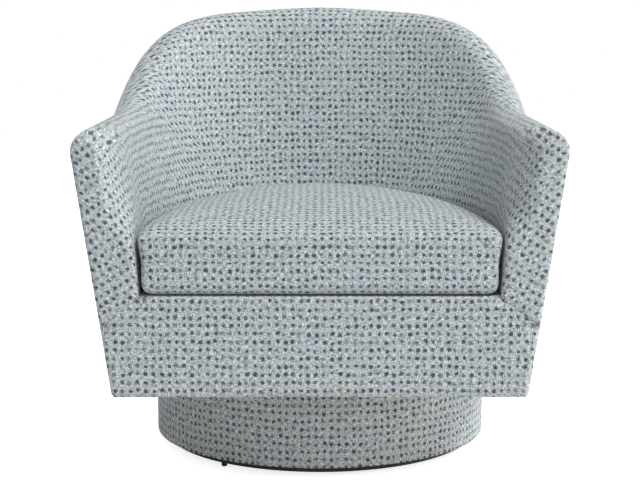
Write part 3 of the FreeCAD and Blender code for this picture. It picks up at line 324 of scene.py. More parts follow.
class Section:
    """A cross-section of the tub's wall: turn in degrees from the back, y along an arm."""

    def __init__(self, turn, y=CENTRE_Y):
        self.angle = radians(turn)
        self.y = y
        share = (rim_run(turn) + CENTRE_Y - y) / HALF_RUN
        sideways = sin(self.angle)**2
        flare = ARM_FLARE * (CENTRE_Y - y) / (CENTRE_Y - FRONT_Y)
        self.rim = rim_height(min(share, 1))
        self.reach = rim_reach(turn) + flare
        self.crest = BACK_CREST - CREST_NARROWING * sideways
        self.crown = self.rim - self.crest
        self.outer_lean = radians(BACK_LEAN + SIDE_LEAN * sideways)
        inward = self.reach - seat_reach(turn, y)
        height = self.crown - LEVEL_Z
        self.inner_lean = atan2(inward, height) - asin(self.crest / hypot(inward, height))
        self.roll = self.crown - self.crest * sin(self.outer_lean)

    def outer(self, z):
        lean = self.outer_lean
        return self.reach + self.crest / cos(lean) - (self.crown - z) * tan(lean)

    def inner(self, z):
        fall = (self.crown - max(z, LEVEL_Z)) * tan(self.inner_lean)
        upright = max(LEVEL_Z - z, 0) * tan(UPRIGHT_LEAN)
        return self.reach - self.crest / cos(self.inner_lean) - fall - upright

    def place(self, reach, z):
        return Vector((reach * sin(self.angle), self.y + reach * cos(self.angle), z))


front_right = Section(90, FRONT_Y)
MITRE_IN_X = front_right.inner(WALL_FOOT)
MITRE_OUT_X = front_right.outer(MITRE_OUT)
print("rim:", round(Section(0).rim), "mm at the back,", round(front_right.rim), "mm at the arms")

# %% [markdown]
# Every cover starts as a flat grid with one vertex for each place on the cloth. The grid is then
# laid on the tub: a function says where each place goes and which part of the cloth lies there.
# Laying a grid keeps rows and columns of faces along the cloth, which suits both the weave and a
# later subdivision.

# %% Laying a grid of cloth
WELD = 0.00005
SLIVER = 0.00001
CLOTH_THICKNESS = 0.0022


def lay_grid(mesh, columns, rows, lay):
    # lay(column, row) gives the place in millimetres and the spot on the cloth in millimetres
    grid = bmesh.ops.create_grid(mesh, x_segments=columns, y_segments=rows, size=1)["verts"]
    weave = mesh.loops.layers.uv.get("weave") or mesh.loops.layers.uv.new("weave")
    spots = {}
    for vert in grid:
        column = round((vert.co.x + 1) / 2 * columns)
        row = round((vert.co.y + 1) / 2 * rows)
        place, spot = lay(column, row)
        spots[vert] = spot
        vert.co = place * MM
    for face in {face for vert in grid for face in vert.link_faces}:
        for loop in face.loops:
            loop[weave].uv = (spots[loop.vert][0] * MM, spots[loop.vert][1] * MM)


def finish_piece(name, mesh, material, body, thickness=0.0, outward=None):
    # Weld, face outwards, give the cloth its thickness inwards, and ride on a body of the frame
    bmesh.ops.remove_doubles(mesh, verts=mesh.verts, dist=WELD)
    bmesh.ops.dissolve_degenerate(mesh, edges=mesh.edges, dist=SLIVER)
    if outward:
        face = max(mesh.faces, key=lambda f: f.calc_center_median().dot(outward))
        if face.normal.dot(outward) < 0:
            bmesh.ops.reverse_faces(mesh, faces=mesh.faces)
    data = bpy.data.meshes.new(name)
    mesh.to_mesh(data)
    mesh.free()
    data.materials.append(material)
    data.shade_smooth()
    piece = bpy.data.objects.new(name, data)
    bpy.context.scene.collection.objects.link(piece)
    if thickness:
        wall = piece.modifiers.new("cloth_thickness", "SOLIDIFY")
        wall.thickness = thickness
        wall.offset = -1
    if body:
        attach(piece, body)
    print(name, len(data.polygons), "faces")
    return piece


def smooth(value, low, high):
    t = min(max((value - low) / (high - low), 0), 1)
    return t * t * (3 - 2 * t)

# %% [markdown]
# The inside is covered by three lengths of cloth, one for the back and one for each arm, sewn
# together just in front of the rear corners. Each runs from the deck up the wall, over the crest
# and down to a seam just under it. An arm's cloth also wraps round to the front. Thick foam lies
# under that turn, so it is soft and wide above the cushion, and tighter beside the cushion and
# over the post at the outer edge.

# %% Inside cloth: how it runs across the wall
INNER_ROWS = 26
CREST_ROWS = 16
SEAM_DROP = 6.0
# How far each turn of the cloth reaches across the front and back along the arm
SOFT_EDGE = Vector((74, 110))
LOW_EDGE = Vector((12, 12))
TIGHT_EDGE = Vector((9, 9))
EDGE_EASE = 270.0
# The turn is tight below the first of these heights and soft above the second
SOFT_FROM, SOFT_BY = 410, 510
CREST_EASE = 0.8


def across(section, row):
    """Reach, height, height up the cloth and size of the front turn, rows counted from the foot."""
    low = pi - section.inner_lean
    tangent_z = section.crown + section.crest * sin(low)
    if row <= INNER_ROWS:
        z = WALL_FOOT + (tangent_z - WALL_FOOT) * row / INNER_ROWS
        edge = LOW_EDGE.lerp(SOFT_EDGE, smooth(z, SOFT_FROM, SOFT_BY))
        return section.inner(z), z, z - WALL_FOOT, edge
    turned = low + section.outer_lean
    if row <= INNER_ROWS + CREST_ROWS:
        share = (row - INNER_ROWS) / CREST_ROWS
        angle = low - turned * share
        reach = section.reach + section.crest * cos(angle)
        z = section.crown + section.crest * sin(angle)
        edge = SOFT_EDGE.lerp(TIGHT_EDGE, smooth(share, 0, CREST_EASE))
        return reach, z, tangent_z - WALL_FOOT + section.crest * turned * share, edge
    z = section.roll - SEAM_DROP
    along = tangent_z - WALL_FOOT + section.crest * turned + SEAM_DROP
    return section.outer(z), z, along, TIGHT_EDGE


BAND_ROWS = INNER_ROWS + CREST_ROWS + 1
ARM_STEPS = 44
BACK_STEPS = 120
CORNER_SEAM = 67.5


def wall_sections():
    arm = [FRONT_Y + (CENTRE_Y - FRONT_Y) * k / ARM_STEPS for k in range(ARM_STEPS)]
    left = [(-90, y) for y in arm]
    back = [(-90 + 180 * k / BACK_STEPS, CENTRE_Y) for k in range(BACK_STEPS + 1)]
    right = [(90, y) for y in reversed(arm)]
    return [(turn, Section(turn, y)) for turn, y in left + back + right]


def run_at(sections, reach_of):
    """Distance round the wall from the middle of the back to each section, left is negative."""
    spots = [section.place(reach_of(section), 0) for turn, section in sections]
    total = [0.0]
    for here, there in zip(spots, spots[1:]):
        total.append(total[-1] + (there - here).length)
    middle = total[len(total) // 2]
    return [t - middle for t in total]


walls = wall_sections()
RUN_FOOT = 330
RUN_STEP = 100
RUN_LEVELS = [RUN_FOOT + RUN_STEP * k for k in range(5)]
level_runs = {z: run_at(walls, lambda s, z=z: s.inner(z)) for z in RUN_LEVELS}


def run_round(index, z):
    # The run is measured at five heights and read between the two nearest
    low = RUN_LEVELS[min(max(int((z - RUN_FOOT) / RUN_STEP), 0), len(RUN_LEVELS) - 2)]
    share = min((z - low) / RUN_STEP, 1)
    return level_runs[low][index] * (1 - share) + level_runs[low + RUN_STEP][index] * share


print("wall:", len(walls), "cross-sections, corner seams at", CORNER_SEAM, "degrees")

# %% [markdown]
# The rows of tufts lie level across the back. On the front of an arm the cloth is turned by 30
# degrees, so its rows rise towards the seat. The turn eases away along the inside of the arm,
# where the rows run nearly level. Distances are taken along the cloth, also round the soft turn,
# so the tufts keep their spacing.

# %% Inside cloth: laying it
FRONT_TURN = radians(30)
PIVOT_UP = 140.0
ROW_EASE = 190.0
COLUMN_EASE = 420.0


def turn_length(edge, share=1.0, steps=24):
    """Length of the elliptic turn from the arm's inside to this share of it."""
    spots = [Vector((edge.x * (1 - cos(pi / 2 * share * k / steps)),
                     edge.y * (1 - sin(pi / 2 * share * k / steps)))) for k in range(steps + 1)]
    return sum((there - here).length for here, there in zip(spots, spots[1:]))


def cloth_on_arm(side, over, up):
    """Spot on the cloth: over is counted outward from the arm's inside edge, up from the foot."""
    rise = up - PIVOT_UP
    if over >= 0:
        across_cloth = over * cos(FRONT_TURN) - rise * sin(FRONT_TURN)
        return side * across_cloth, rise * cos(FRONT_TURN) + over * sin(FRONT_TURN)
    share = min(-over / ROW_EASE, 1)
    climbed = sin(FRONT_TURN) * ROW_EASE * (share - share**2 / 2)
    squeeze = 1 - (1 - cos(FRONT_TURN)) * (1 - smooth(-over, 0, ROW_EASE))
    across_cloth = over - rise * sin(FRONT_TURN) * (1 - smooth(-over, 0, COLUMN_EASE))
    return side * across_cloth, rise * squeeze - climbed


def wall_place(index, row):
    turn, section = walls[index]
    reach, z, up, edge = across(section, row)
    place = section.place(reach, z)
    if abs(turn) == 90:
        place.y = section.y + edge.y * (1 - smooth(section.y - FRONT_Y, 0, EDGE_EASE))
    return place, up, edge


def seam_index(side):
    turns = [turn for turn, section in walls]
    return turns.index(side * CORNER_SEAM)


def back_cloth(column, row):
    index = seam_index(-1) + column
    place, up, _ = wall_place(index, row)
    return place, (run_round(index, place.z), up)


def arm_cloth(side):
    def lay(column, row):
        index = column if side < 0 else len(walls) - 1 - column
        place, up, edge = wall_place(index, row)
        corner = ARM_STEPS if side < 0 else len(walls) - 1 - ARM_STEPS
        behind = min(place.y, CENTRE_Y) - FRONT_Y - edge.y
        if column > ARM_STEPS:
            behind = CENTRE_Y - FRONT_Y - edge.y
            behind += abs(run_round(corner, place.z) - run_round(index, place.z))
        return place, cloth_on_arm(side, edge.x - turn_length(edge) - behind, up)

    columns = seam_index(-1) if side < 0 else len(walls) - 1 - seam_index(1)
    return columns, BAND_ROWS, lay


# %% [markdown]
# The front of an arm is a narrow field inside a rounded edge. One flat face could fill it, but
# the rounding needs rows that follow the edge. So this grid starts on the edge, goes round the
# turn, and ends on a line up the middle of the arm, where its two halves meet and are welded.

# %% Inside cloth: the fronts of the arms
CURVE_STEPS = 12
INWARD_STEPS = 8
# The middle line of a front starts this far down the mitre seam, and no turn reaches past it
MITRE_SHARE = 0.68
TURN_ROOM = 0.94


def arm_front(side):
    """The front of an arm: from the turned edge inwards to a line up the middle of the arm."""
    section = Section(90 * side, FRONT_Y)
    foot = Vector((MITRE_IN_X, WALL_FOOT)).lerp(Vector((MITRE_OUT_X, MITRE_OUT)), MITRE_SHARE)
    head = Vector((section.reach, section.crown))
    seam_z = section.roll - SEAM_DROP
    rows = 2 * INNER_ROWS + CREST_ROWS

    def lay(column, row):
        if row <= BAND_ROWS:
            reach, z, up, edge = across(section, row)
        else:
            z = seam_z + (MITRE_OUT - seam_z) * (row - BAND_ROWS) / (rows - BAND_ROWS)
            reach, edge = section.outer(z), TIGHT_EDGE
        start = Vector((reach, z))
        climb = min(row, rows - row, INNER_ROWS) / INNER_ROWS
        away = foot.lerp(head, climb) - start
        edge = Vector((min(edge.x, TURN_ROOM * away.length), edge.y))
        if column <= CURVE_STEPS:
            share = column / CURVE_STEPS
            inset = edge.x * (1 - cos(pi / 2 * share))
            depth = edge.y * (1 - sin(pi / 2 * share))
            cloth_inset = edge.x - turn_length(edge) + turn_length(edge, share)
        else:
            share = (column - CURVE_STEPS) / INWARD_STEPS
            inset = edge.x + (away.length - edge.x) * share
            depth = 0
            cloth_inset = inset
        spot = start + away.normalized() * inset
        on_cloth = start + away.normalized() * cloth_inset
        if row > INNER_ROWS:
            on_cloth = spot
        over = on_cloth.x - section.inner(on_cloth.y)
        place = Vector((side * spot.x, FRONT_Y + depth, spot.y))
        return place, cloth_on_arm(side, over, on_cloth.y - WALL_FOOT)

    return CURVE_STEPS + INWARD_STEPS, rows, lay


SEAM_WELD = 0.0002
inside_mesh = bmesh.new()
lay_grid(inside_mesh, seam_index(1) - seam_index(-1), BAND_ROWS, back_cloth)
for side in (-1, 1):
    lay_grid(inside_mesh, *arm_cloth(side))
    lay_grid(inside_mesh, *arm_front(side))
bmesh.ops.remove_doubles(inside_mesh, verts=inside_mesh.verts, dist=SEAM_WELD)
bmesh.ops.recalc_face_normals(inside_mesh, faces=inside_mesh.faces)
inside_cloth = finish_piece("inside_cloth", inside_mesh, cover_tweed, "seat", CLOTH_THICKNESS,
                            outward=Vector((0, 0, 1)))
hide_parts("inside_cover", "barrel_foam", "arm_front_pads")

# %% [markdown]
# The outside cloth hangs from the seam under the crest to the bottom edge of the seat, where it
# folds under. The fold has a radius of 9 mm, which also rounds the lower corners of the front.

# %% Outside cloth
HEM_ROUND = 9.0
HEM_UNDER = 3.5
OUTER_ROWS = 24
HEM_ROWS = 7
RUN_HEIGHT = 400


def hem_inset(z):
    rise = min(max(z - SKIRT_Z, 0), HEM_ROUND)
    return HEM_ROUND - sqrt(HEM_ROUND**2 - (HEM_ROUND - rise)**2)


def lay_outside(column, row):
    turn, section = walls[column]
    top = section.roll - SEAM_DROP
    hem_z = SKIRT_Z + HEM_ROUND
    if row <= OUTER_ROWS:
        z = top + (hem_z - top) * row / OUTER_ROWS
        reach, along = section.outer(z), z
    elif row <= OUTER_ROWS + HEM_ROWS:
        angle = pi / 2 * (row - OUTER_ROWS) / HEM_ROWS
        z = hem_z - HEM_ROUND * sin(angle)
        reach = section.outer(hem_z) - HEM_ROUND * (1 - cos(angle))
        along = hem_z - HEM_ROUND * angle
    else:
        z = SKIRT_Z
        reach = section.outer(hem_z) - HEM_ROUND - HEM_UNDER
        along = SKIRT_Z - HEM_ROUND
    place = section.place(reach, z)
    if abs(turn) == 90:
        place.y = section.y + TIGHT_EDGE.y * (1 - smooth(section.y - FRONT_Y, 0, EDGE_EASE))
    return place, (outside_run[column], along)


outside_run = run_at(walls, lambda s: s.outer(RUN_HEIGHT))
outside_mesh = bmesh.new()
lay_grid(outside_mesh, len(walls) - 1, OUTER_ROWS + HEM_ROWS + 1, lay_outside)
outside_cloth = finish_piece("outside_cloth", outside_mesh, cover_tweed, "seat", CLOTH_THICKNESS,
                             outward=Vector((0, 1, 0)))
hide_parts("outside_cover", "outside_pad")

# %% [markdown]
# The front panel is one flat piece under the cushion. It meets each arm in a mitre seam that
# runs from the cushion's lower corner down and outward, and its top rolls back under the cushion.

# %% Front panel
PANEL_LIP = -341.7
PANEL_COLUMNS = 96
LIP_ROLL_ROWS = 4
LIP_FLAT_ROWS = 8
CORNER_FADE = 24.0
# Columns stand closer together towards the two ends of the panel
END_CROWDING = 1.6
panel_levels = ([SKIRT_Z + HEM_ROUND * (1 - cos(pi / 2 * k / 7)) for k in range(7)]
                + [SKIRT_Z + HEM_ROUND + (MITRE_OUT - SKIRT_Z - HEM_ROUND) * k / 10
                   for k in range(11)]
                + [MITRE_OUT + (WALL_FOOT - MITRE_OUT) * k / 6 for k in range(1, 7)])
panel_rows = len(panel_levels) + LIP_ROLL_ROWS + LIP_FLAT_ROWS


def edge_curve(inset, radius):
    # How far a rounded edge stands back at a distance in from its outline
    near = max(radius - inset, 0)
    return radius - sqrt(max(radius**2 - near**2, 0))


def panel_half_width(z):
    if z >= MITRE_OUT:
        share = (z - MITRE_OUT) / (WALL_FOOT - MITRE_OUT)
        return MITRE_OUT_X + (MITRE_IN_X - MITRE_OUT_X) * share
    return front_right.outer(max(z, SKIRT_Z + HEM_ROUND)) - hem_inset(z)


def mitre_depth(z):
    # The seam sinks with the rounded edges of the arm at both of its ends
    x = panel_half_width(z)
    inward = hypot(MITRE_IN_X - x, WALL_FOOT - z)
    outward = hypot(MITRE_OUT_X - x, MITRE_OUT - z)
    return max(edge_curve(inward, LOW_EDGE.x), edge_curve(outward, TIGHT_EDGE.x))


def lay_panel(column, row):
    share = 2 * column / PANEL_COLUMNS - 1
    spread = (1 - (1 - abs(share))**END_CROWDING) * (1 if share > 0 else -1)
    if row < len(panel_levels):
        z = panel_levels[row]
        half = panel_half_width(z)
        x = spread * half
        if z < MITRE_OUT:
            depth = max(edge_curve(half - abs(x), TIGHT_EDGE.x),
                        edge_curve(z - SKIRT_Z, HEM_ROUND))
        else:
            depth = mitre_depth(z) * (1 - smooth(half - abs(x), 0, CORNER_FADE))
        return Vector((x, FRONT_Y + depth, z)), (x, z)
    step = row - len(panel_levels)
    half = MITRE_IN_X
    corner = mitre_depth(WALL_FOOT) * (1 - smooth(half * (1 - abs(spread)), 0, CORNER_FADE))
    roll = DECK_Z - WALL_FOOT
    if step < LIP_ROLL_ROWS:
        angle = pi / 2 * (step + 1) / LIP_ROLL_ROWS
        y = FRONT_Y + corner + roll * (1 - cos(angle))
        z = WALL_FOOT + roll * sin(angle)
    else:
        near = FRONT_Y + corner + roll
        y = near + (PANEL_LIP - near) * (step - LIP_ROLL_ROWS + 1) / LIP_FLAT_ROWS
        z = DECK_Z
    along = WALL_FOOT + (y - FRONT_Y) + (z - WALL_FOOT)
    return Vector((spread * half, y, z)), (spread * half, along)


panel_mesh = bmesh.new()
lay_grid(panel_mesh, PANEL_COLUMNS, panel_rows - 1, lay_panel)
front_panel = finish_piece("front_panel_cloth", panel_mesh, cover_tweed, "seat", CLOTH_THICKNESS,
                           outward=Vector((0, -1, 0)))
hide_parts("front_rail_cover", "front_rail_foam")

# %% [markdown]
# Behind the front panel the deck is covered with plain platform cloth, because the cushion
# hides it. It shows only when the cushion is lifted out. Plain weave is threads over and under
# by turns, so a checker draws it, each thread 1.4 mm wide, coarser than real so that it shows.

# %% Platform cloth
platform_cotton, platform_tree, platform_shader = new_material("platform_cotton", Roughness=0.95)
platform_weave = add(platform_tree, "ShaderNodeUVMap", {"uv_map": "weave"}).outputs["UV"]
platform_threads = add(platform_tree, "ShaderNodeTexChecker", {},
                       {"Vector": platform_weave, "Scale": 700, "Color1": linear("#596069"),
                        "Color2": linear("#4a5159")})
platform_tree.links.new(platform_threads.outputs["Color"], platform_shader.inputs["Base Color"])
platform_bump = add(platform_tree, "ShaderNodeBump", {},
                    {"Height": platform_threads.outputs["Fac"], "Strength": 0.4,
                     "Distance": 0.0004})
platform_tree.links.new(platform_bump.outputs["Normal"], platform_shader.inputs["Normal"])

deck_sections = [s for turn, s in walls if turn >= 0 and s.y >= PANEL_LIP]
DECK_COLUMNS = 60
DECK_GAP = 0.4
DECK_DROP = 0.2
# The cloth sags a little between the seat springs below it
SAG = 1.2
SPRING_PITCH = 90


def lay_deck(column, row):
    section = deck_sections[::-1][row]
    share = 2 * column / DECK_COLUMNS - 1
    edge = section.place(section.inner(DECK_Z) - DECK_GAP, DECK_Z)
    y = max(edge.y, PANEL_LIP)
    x = share * edge.x
    sag = SAG * (1 + cos(x / SPRING_PITCH * 2 * pi)) / 2 * (1 - abs(share)**6)
    return Vector((x, y, DECK_Z - DECK_DROP - sag)), (x, y)


deck_mesh = bmesh.new()
lay_grid(deck_mesh, DECK_COLUMNS, len(deck_sections) - 1, lay_deck)
platform_cloth = finish_piece("platform_cloth", deck_mesh, platform_cotton, "seat", 0.002,
                              outward=Vector((0, 0, 1)))
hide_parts("deck_cover", "deck_pad")

# %% [markdown]
# The seat cushion is a block of foam in a boxed cover. A subdivided box would give its outline,
# but not the even push of foam on cloth. So the frame's foam block is remeshed into small even
# faces and inflated by a cloth simulation. How far the cover may move is capped, most closely
# where the arms, the back and the deck hold it.

# %% Seat cushion: foam block and simulation
VOXEL = 0.006
PRESSURE = 4


def swell(piece, frames=14):
    bpy.context.view_layer.objects.active = piece
    cloth = piece.modifiers.new("inflate", "CLOTH")
    settings = cloth.settings
    settings.use_pressure = True
    settings.uniform_pressure_force = PRESSURE
    settings.quality = 5
    settings.effector_weights.gravity = 0
    settings.tension_stiffness = 25
    settings.compression_stiffness = 25
    settings.shear_stiffness = 15
    settings.bending_stiffness = 4
    for step in range(1, frames + 1):
        bpy.context.scene.frame_set(step)
    blown = piece.evaluated_get(bpy.context.evaluated_depsgraph_get()).data
    places = [vert.co.copy() for vert in blown.vertices]
    piece.modifiers.remove(cloth)
    bpy.context.scene.frame_set(1)
    return places


block = cad["cushion_foam"].data.copy()
cushion_mesh = bmesh.new()
cushion_mesh.from_mesh(block)
bmesh.ops.remove_doubles(cushion_mesh, verts=cushion_mesh.verts, dist=0.00001)
cushion_mesh.to_mesh(block)
cushion_mesh.free()
seat_cushion = bpy.data.objects.new("seat_cushion", block)
bpy.context.scene.collection.objects.link(seat_cushion)
remesh = seat_cushion.modifiers.new("remesh", "REMESH")
remesh.mode = "VOXEL"
remesh.voxel_size = VOXEL
remeshed = seat_cushion.evaluated_get(bpy.context.evaluated_depsgraph_get())
seat_cushion.modifiers.clear()
voxels = bpy.data.meshes.new_from_object(remeshed)
seat_cushion.data = voxels
start = [vert.co.copy() for vert in voxels.vertices]
normals = [vert.normal.copy() for vert in voxels.vertices]
blown = swell(seat_cushion)
print("foam block:", len(start), "vertices")

# %% [markdown]
# The cover lies just off the foam and swells most where nothing holds it. The simulation says how
# far each place wants to move outward, and the cap says how far it may. Remeshing has taken away
# the weave's map, so that is made again here, after a light smoothing and before one subdivision.

# %% Seat cushion: cover
CUSHION_FLOOR = 333.6
CUSHION_MIDDLE = 387.0
LOWER_ROUND = 4.5
COVER_GAP = 0.0022
# The cover may stand this far out, and more on the open top and the front
HELD_ROOM = 0.0026
TOP_ROOM = 0.0016
FRONT_ROOM = 0.0012


def cushion_cloth(place, normal):
    # The front and the top are one run of cloth, and the boxing of the sides is another
    x, y, z = place / MM
    if normal.z > 0.45 or normal.y < -0.5:
        back = y - FRONT_Y
        return x + 3, z + 4 + (back if z > CUSHION_MIDDLE else -back)
    if normal.z < -0.6:
        return x, y
    if abs(normal.x) > 0.6:
        return y, z
    return x, z


for vert, place, normal, pushed in zip(voxels.vertices, start, normals, blown):
    room = HELD_ROOM + TOP_ROOM * max(normal.z, 0)**2 + FRONT_ROOM * max(-normal.y, 0)
    push = min(max((pushed - place).dot(normal), COVER_GAP), room)
    vert.co = place + normal * push
    vert.co.z = max(vert.co.z, CUSHION_FLOOR * MM)
    # The lower edge is drawn in by its seam
    rise = vert.co.z / MM - CUSHION_FLOOR
    drawn = LOWER_ROUND * (1 - smooth(rise, 0, 2 * LOWER_ROUND)) * MM
    vert.co -= Vector((normal.x, normal.y, 0)) * drawn

cushion_mesh = bmesh.new()
cushion_mesh.from_mesh(voxels)
for _ in range(2):
    bmesh.ops.smooth_vert(cushion_mesh, verts=cushion_mesh.verts, factor=0.5, use_axis_x=True,
                          use_axis_y=True, use_axis_z=True)
cushion_mesh.normal_update()
weave = cushion_mesh.loops.layers.uv.new("weave")
for face in cushion_mesh.faces:
    for loop in face.loops:
        u, v = cushion_cloth(loop.vert.co, face.normal)
        loop[weave].uv = (u * MM, v * MM)
cushion_mesh.to_mesh(voxels)
cushion_mesh.free()
voxels.materials.clear()
voxels.materials.append(cover_tweed)
voxels.shade_smooth()
rounded = seat_cushion.modifiers.new("rounding", "SUBSURF")
rounded.levels = 1
rounded.render_levels = 1
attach(seat_cushion, "cushion")
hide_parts("cushion_cover", "cushion_foam")
print("seat_cushion", len(voxels.polygons), "faces")

# %% [markdown]
# The cover closes at the back with a zip: two woven tapes with a row of moulded teeth between
# them, and a slider at one end. It follows the curve of the cushion's back. Each tooth is only a
# small block, because there are dozens of them.

# %% Cushion zip
ZIP_Z = 385.5
ZIP_HALF = 100.0
TAPE_WIDTH = 9.4
TOOTH_PITCH = 2.5
TOOTH_OFFSET = 0.8
CUSHION_GAP = 4.6


def zip_place(x, out):
    # Back of the cushion at this distance from the middle, moved outward
    low, high = 0.0, 80.0
    for _ in range(30):
        turn = (low + high) / 2
        section = Section(turn)
        spot = section.place(section.inner(ZIP_Z) - CUSHION_GAP + out, ZIP_Z)
        low, high = (turn, high) if spot.x < abs(x) else (low, turn)
    return Vector((x, spot.y, ZIP_Z))


def lay_tape(column, row):
    x = ZIP_HALF * (column / 20 - 1)
    place = zip_place(x, 0.4)
    place.z += TAPE_WIDTH * (row / 4 - 0.5)
    return place, (x, place.z)


def add_block(mesh, centre, turn, across_x, along_y, up_z):
    size_by = Matrix.Diagonal((across_x * MM, along_y * MM, up_z * MM, 1))
    place = Matrix.Translation(centre * MM) @ Matrix.Rotation(turn, 4, "Z") @ size_by
    bmesh.ops.create_cube(mesh, size=1, matrix=place)


# Moulded acetal: dark, smooth and a little glossy
zip_plastic, _, _ = new_material("moulded_acetal", Roughness=0.4, Base_Color=linear("#26292b"))
zip_mesh = bmesh.new()
lay_grid(zip_mesh, 40, 4, lay_tape)
for step in range(int(2 * ZIP_HALF / TOOTH_PITCH) - 1):
    x = -ZIP_HALF + TOOTH_PITCH * (step + 1)
    here, there = zip_place(x, 1.0), zip_place(x + 1, 1.0)
    lift = TOOTH_OFFSET if step % 2 else -TOOTH_OFFSET
    turned = atan2(there.y - here.y, 1)
    add_block(zip_mesh, here + Vector((0, 0, lift)), turned, 1.5, 1.0, 3.0)
slider = zip_place(-ZIP_HALF + 8, 1.4)
slider_turn = atan2(zip_place(-ZIP_HALF + 9, 1.4).y - slider.y, 1)
add_block(zip_mesh, slider, slider_turn, 9.0, 1.8, 7.0)
cushion_fastener = finish_piece("cushion_zip_strip", zip_mesh, zip_plastic, "cushion")
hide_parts("cushion_zip")

# %% [markdown]
# The drum is a bent board wrapped in the same tweed, so its cover is a turned form. It could be
# spun from a profile, but a grid laid round the swivel's axis gives it the weave's map as well.
# Its one seam is at the back. The cloth folds over the top edge and is held under the seat.

# %% Drum cloth
DRUM_RADIUS = 305.0
DRUM_TOP = 150
TOP_ROUND = 6
DRUM_STEPS = 180
top_fold = [(DRUM_RADIUS - TOP_ROUND * (1 - cos(pi / 2 * k / 6)),
             DRUM_TOP - TOP_ROUND + TOP_ROUND * sin(pi / 2 * k / 6)) for k in range(7)]
drum_profile = ([(302.2, 18.6), (303.6, 18.45), (304.6, 18.8)]
                + [(DRUM_RADIUS, 20 + 123 * k / 8) for k in range(9)] + top_fold
                + [(290, DRUM_TOP), (250, DRUM_TOP), (210, DRUM_TOP)])


def lay_drum(column, row):
    radius, z = drum_profile[row]
    angle = 2 * pi * column / DRUM_STEPS + pi / 2
    place = Vector((radius * cos(angle), radius * sin(angle), z))
    along = z if z < DRUM_TOP - 1 else DRUM_TOP - 1 + (DRUM_RADIUS - radius)
    return place, (DRUM_RADIUS * angle, along)


drum_mesh = bmesh.new()
lay_grid(drum_mesh, DRUM_STEPS, len(drum_profile) - 1, lay_drum)
drum_cloth = finish_piece("drum_cloth", drum_mesh, cover_tweed, "base", 0.002,
                          outward=Vector((0, -1, 0)))
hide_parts("drum_cover")

# %% [markdown]
# The rest of the chair keeps the frame's own solids. Each gets the finish of its real material,
# with grain, brushing or mottle at its real size, read from object coordinates.

# %% Finishes of the frame's parts
def mottled(name, dark, light, scale, roughness, stretch=(1, 1, 1), metallic=0.0, bump=0.0002):
    material, tree, shader = new_material(name, Roughness=roughness, Metallic=metallic)
    place = add(tree, "ShaderNodeTexCoord").outputs["Object"]
    place = add(tree, "ShaderNodeMapping", {}, {"Vector": place, "Scale": stretch}).outputs[0]
    spots = add(tree, "ShaderNodeTexNoise", {},
                {"Vector": place, "Scale": scale, "Detail": 4}).outputs["Fac"]
    tone = colour_ramp(tree, spots, (0.32, dark), (0.68, light))
    tree.links.new(tone, shader.inputs["Base Color"])
    relief = add(tree, "ShaderNodeBump", {}, {"Height": spots, "Strength": 0.35, "Distance": bump})
    tree.links.new(relief.outputs["Normal"], shader.inputs["Normal"])
    return material


finishes = {
    # Moulded polypropylene: near black with a faint spark-eroded mottle of 0.5 mm
    "black_plastic": mottled("moulded_polypropylene", "#121213", "#1e1e20", 1800, 0.5),
    # Birch plywood, rotary cut: long pale figure
    "plywood": mottled("birch_plywood", "#c8a878", "#e2c99e", 9, 0.6, (1, 12, 12)),
    # Beech, planed: short flecks along the grain
    "hardwood": mottled("planed_beech", "#b08458", "#cfa679", 22, 0.55, (9, 1, 1)),
    # Hardboard: fine brown mottle
    "fibreboard": mottled("hardboard", "#7d5f40", "#94734f", 600, 0.7),
    # Zinc-plated steel: cool and slightly cloudy
    "zinc_steel": mottled("zinc_plated_steel", "#9fa3a6", "#c4c8ca", 60, 0.35, metallic=1.0),
    # Powder-coated steel: black with a fine orange peel
    "black_steel": mottled("powder_coated_steel", "#17181a", "#222326", 900, 0.42),
    # Oil-tempered spring wire: dark blue-grey
    "spring_steel": mottled("oil_tempered_wire", "#3d4045", "#5a5e63", 120, 0.38, metallic=1.0),
    # Hardened ball steel: bright
    "ball_steel": mottled("polished_ball_steel", "#c9cbcd", "#dcdedf", 40, 0.12, metallic=1.0),
    # Cast nylon: milky
    "nylon": mottled("cast_nylon", "#dcdbd2", "#ebeae2", 90, 0.4),
    # Moulded rubber: black and dull
    "bumper_rubber": mottled("moulded_rubber", "#161616", "#232323", 700, 0.8),
    # Slabstock foam: cream with open cells of about 1 mm
    "foam": mottled("slabstock_foam", "#d9cfa6", "#ece3c0", 900, 0.95),
    # Needled felt: pale grey fibres
    "padding_felt": mottled("needled_felt", "#bcbcb8", "#d6d6d2", 500, 0.95, (1, 6, 1)),
    "deck_cloth": platform_cotton,
    "upholstery_fabric": cover_tweed,
}
slot_of = {part["node"]: part["material_slot"] for part in frame["record"]["subparts"]}
for name, node in cad.items():
    node.data.materials.clear()
    node.data.materials.append(finishes[slot_of[name]])
print("finishes:", len(finishes), "on", len(cad), "nodes")
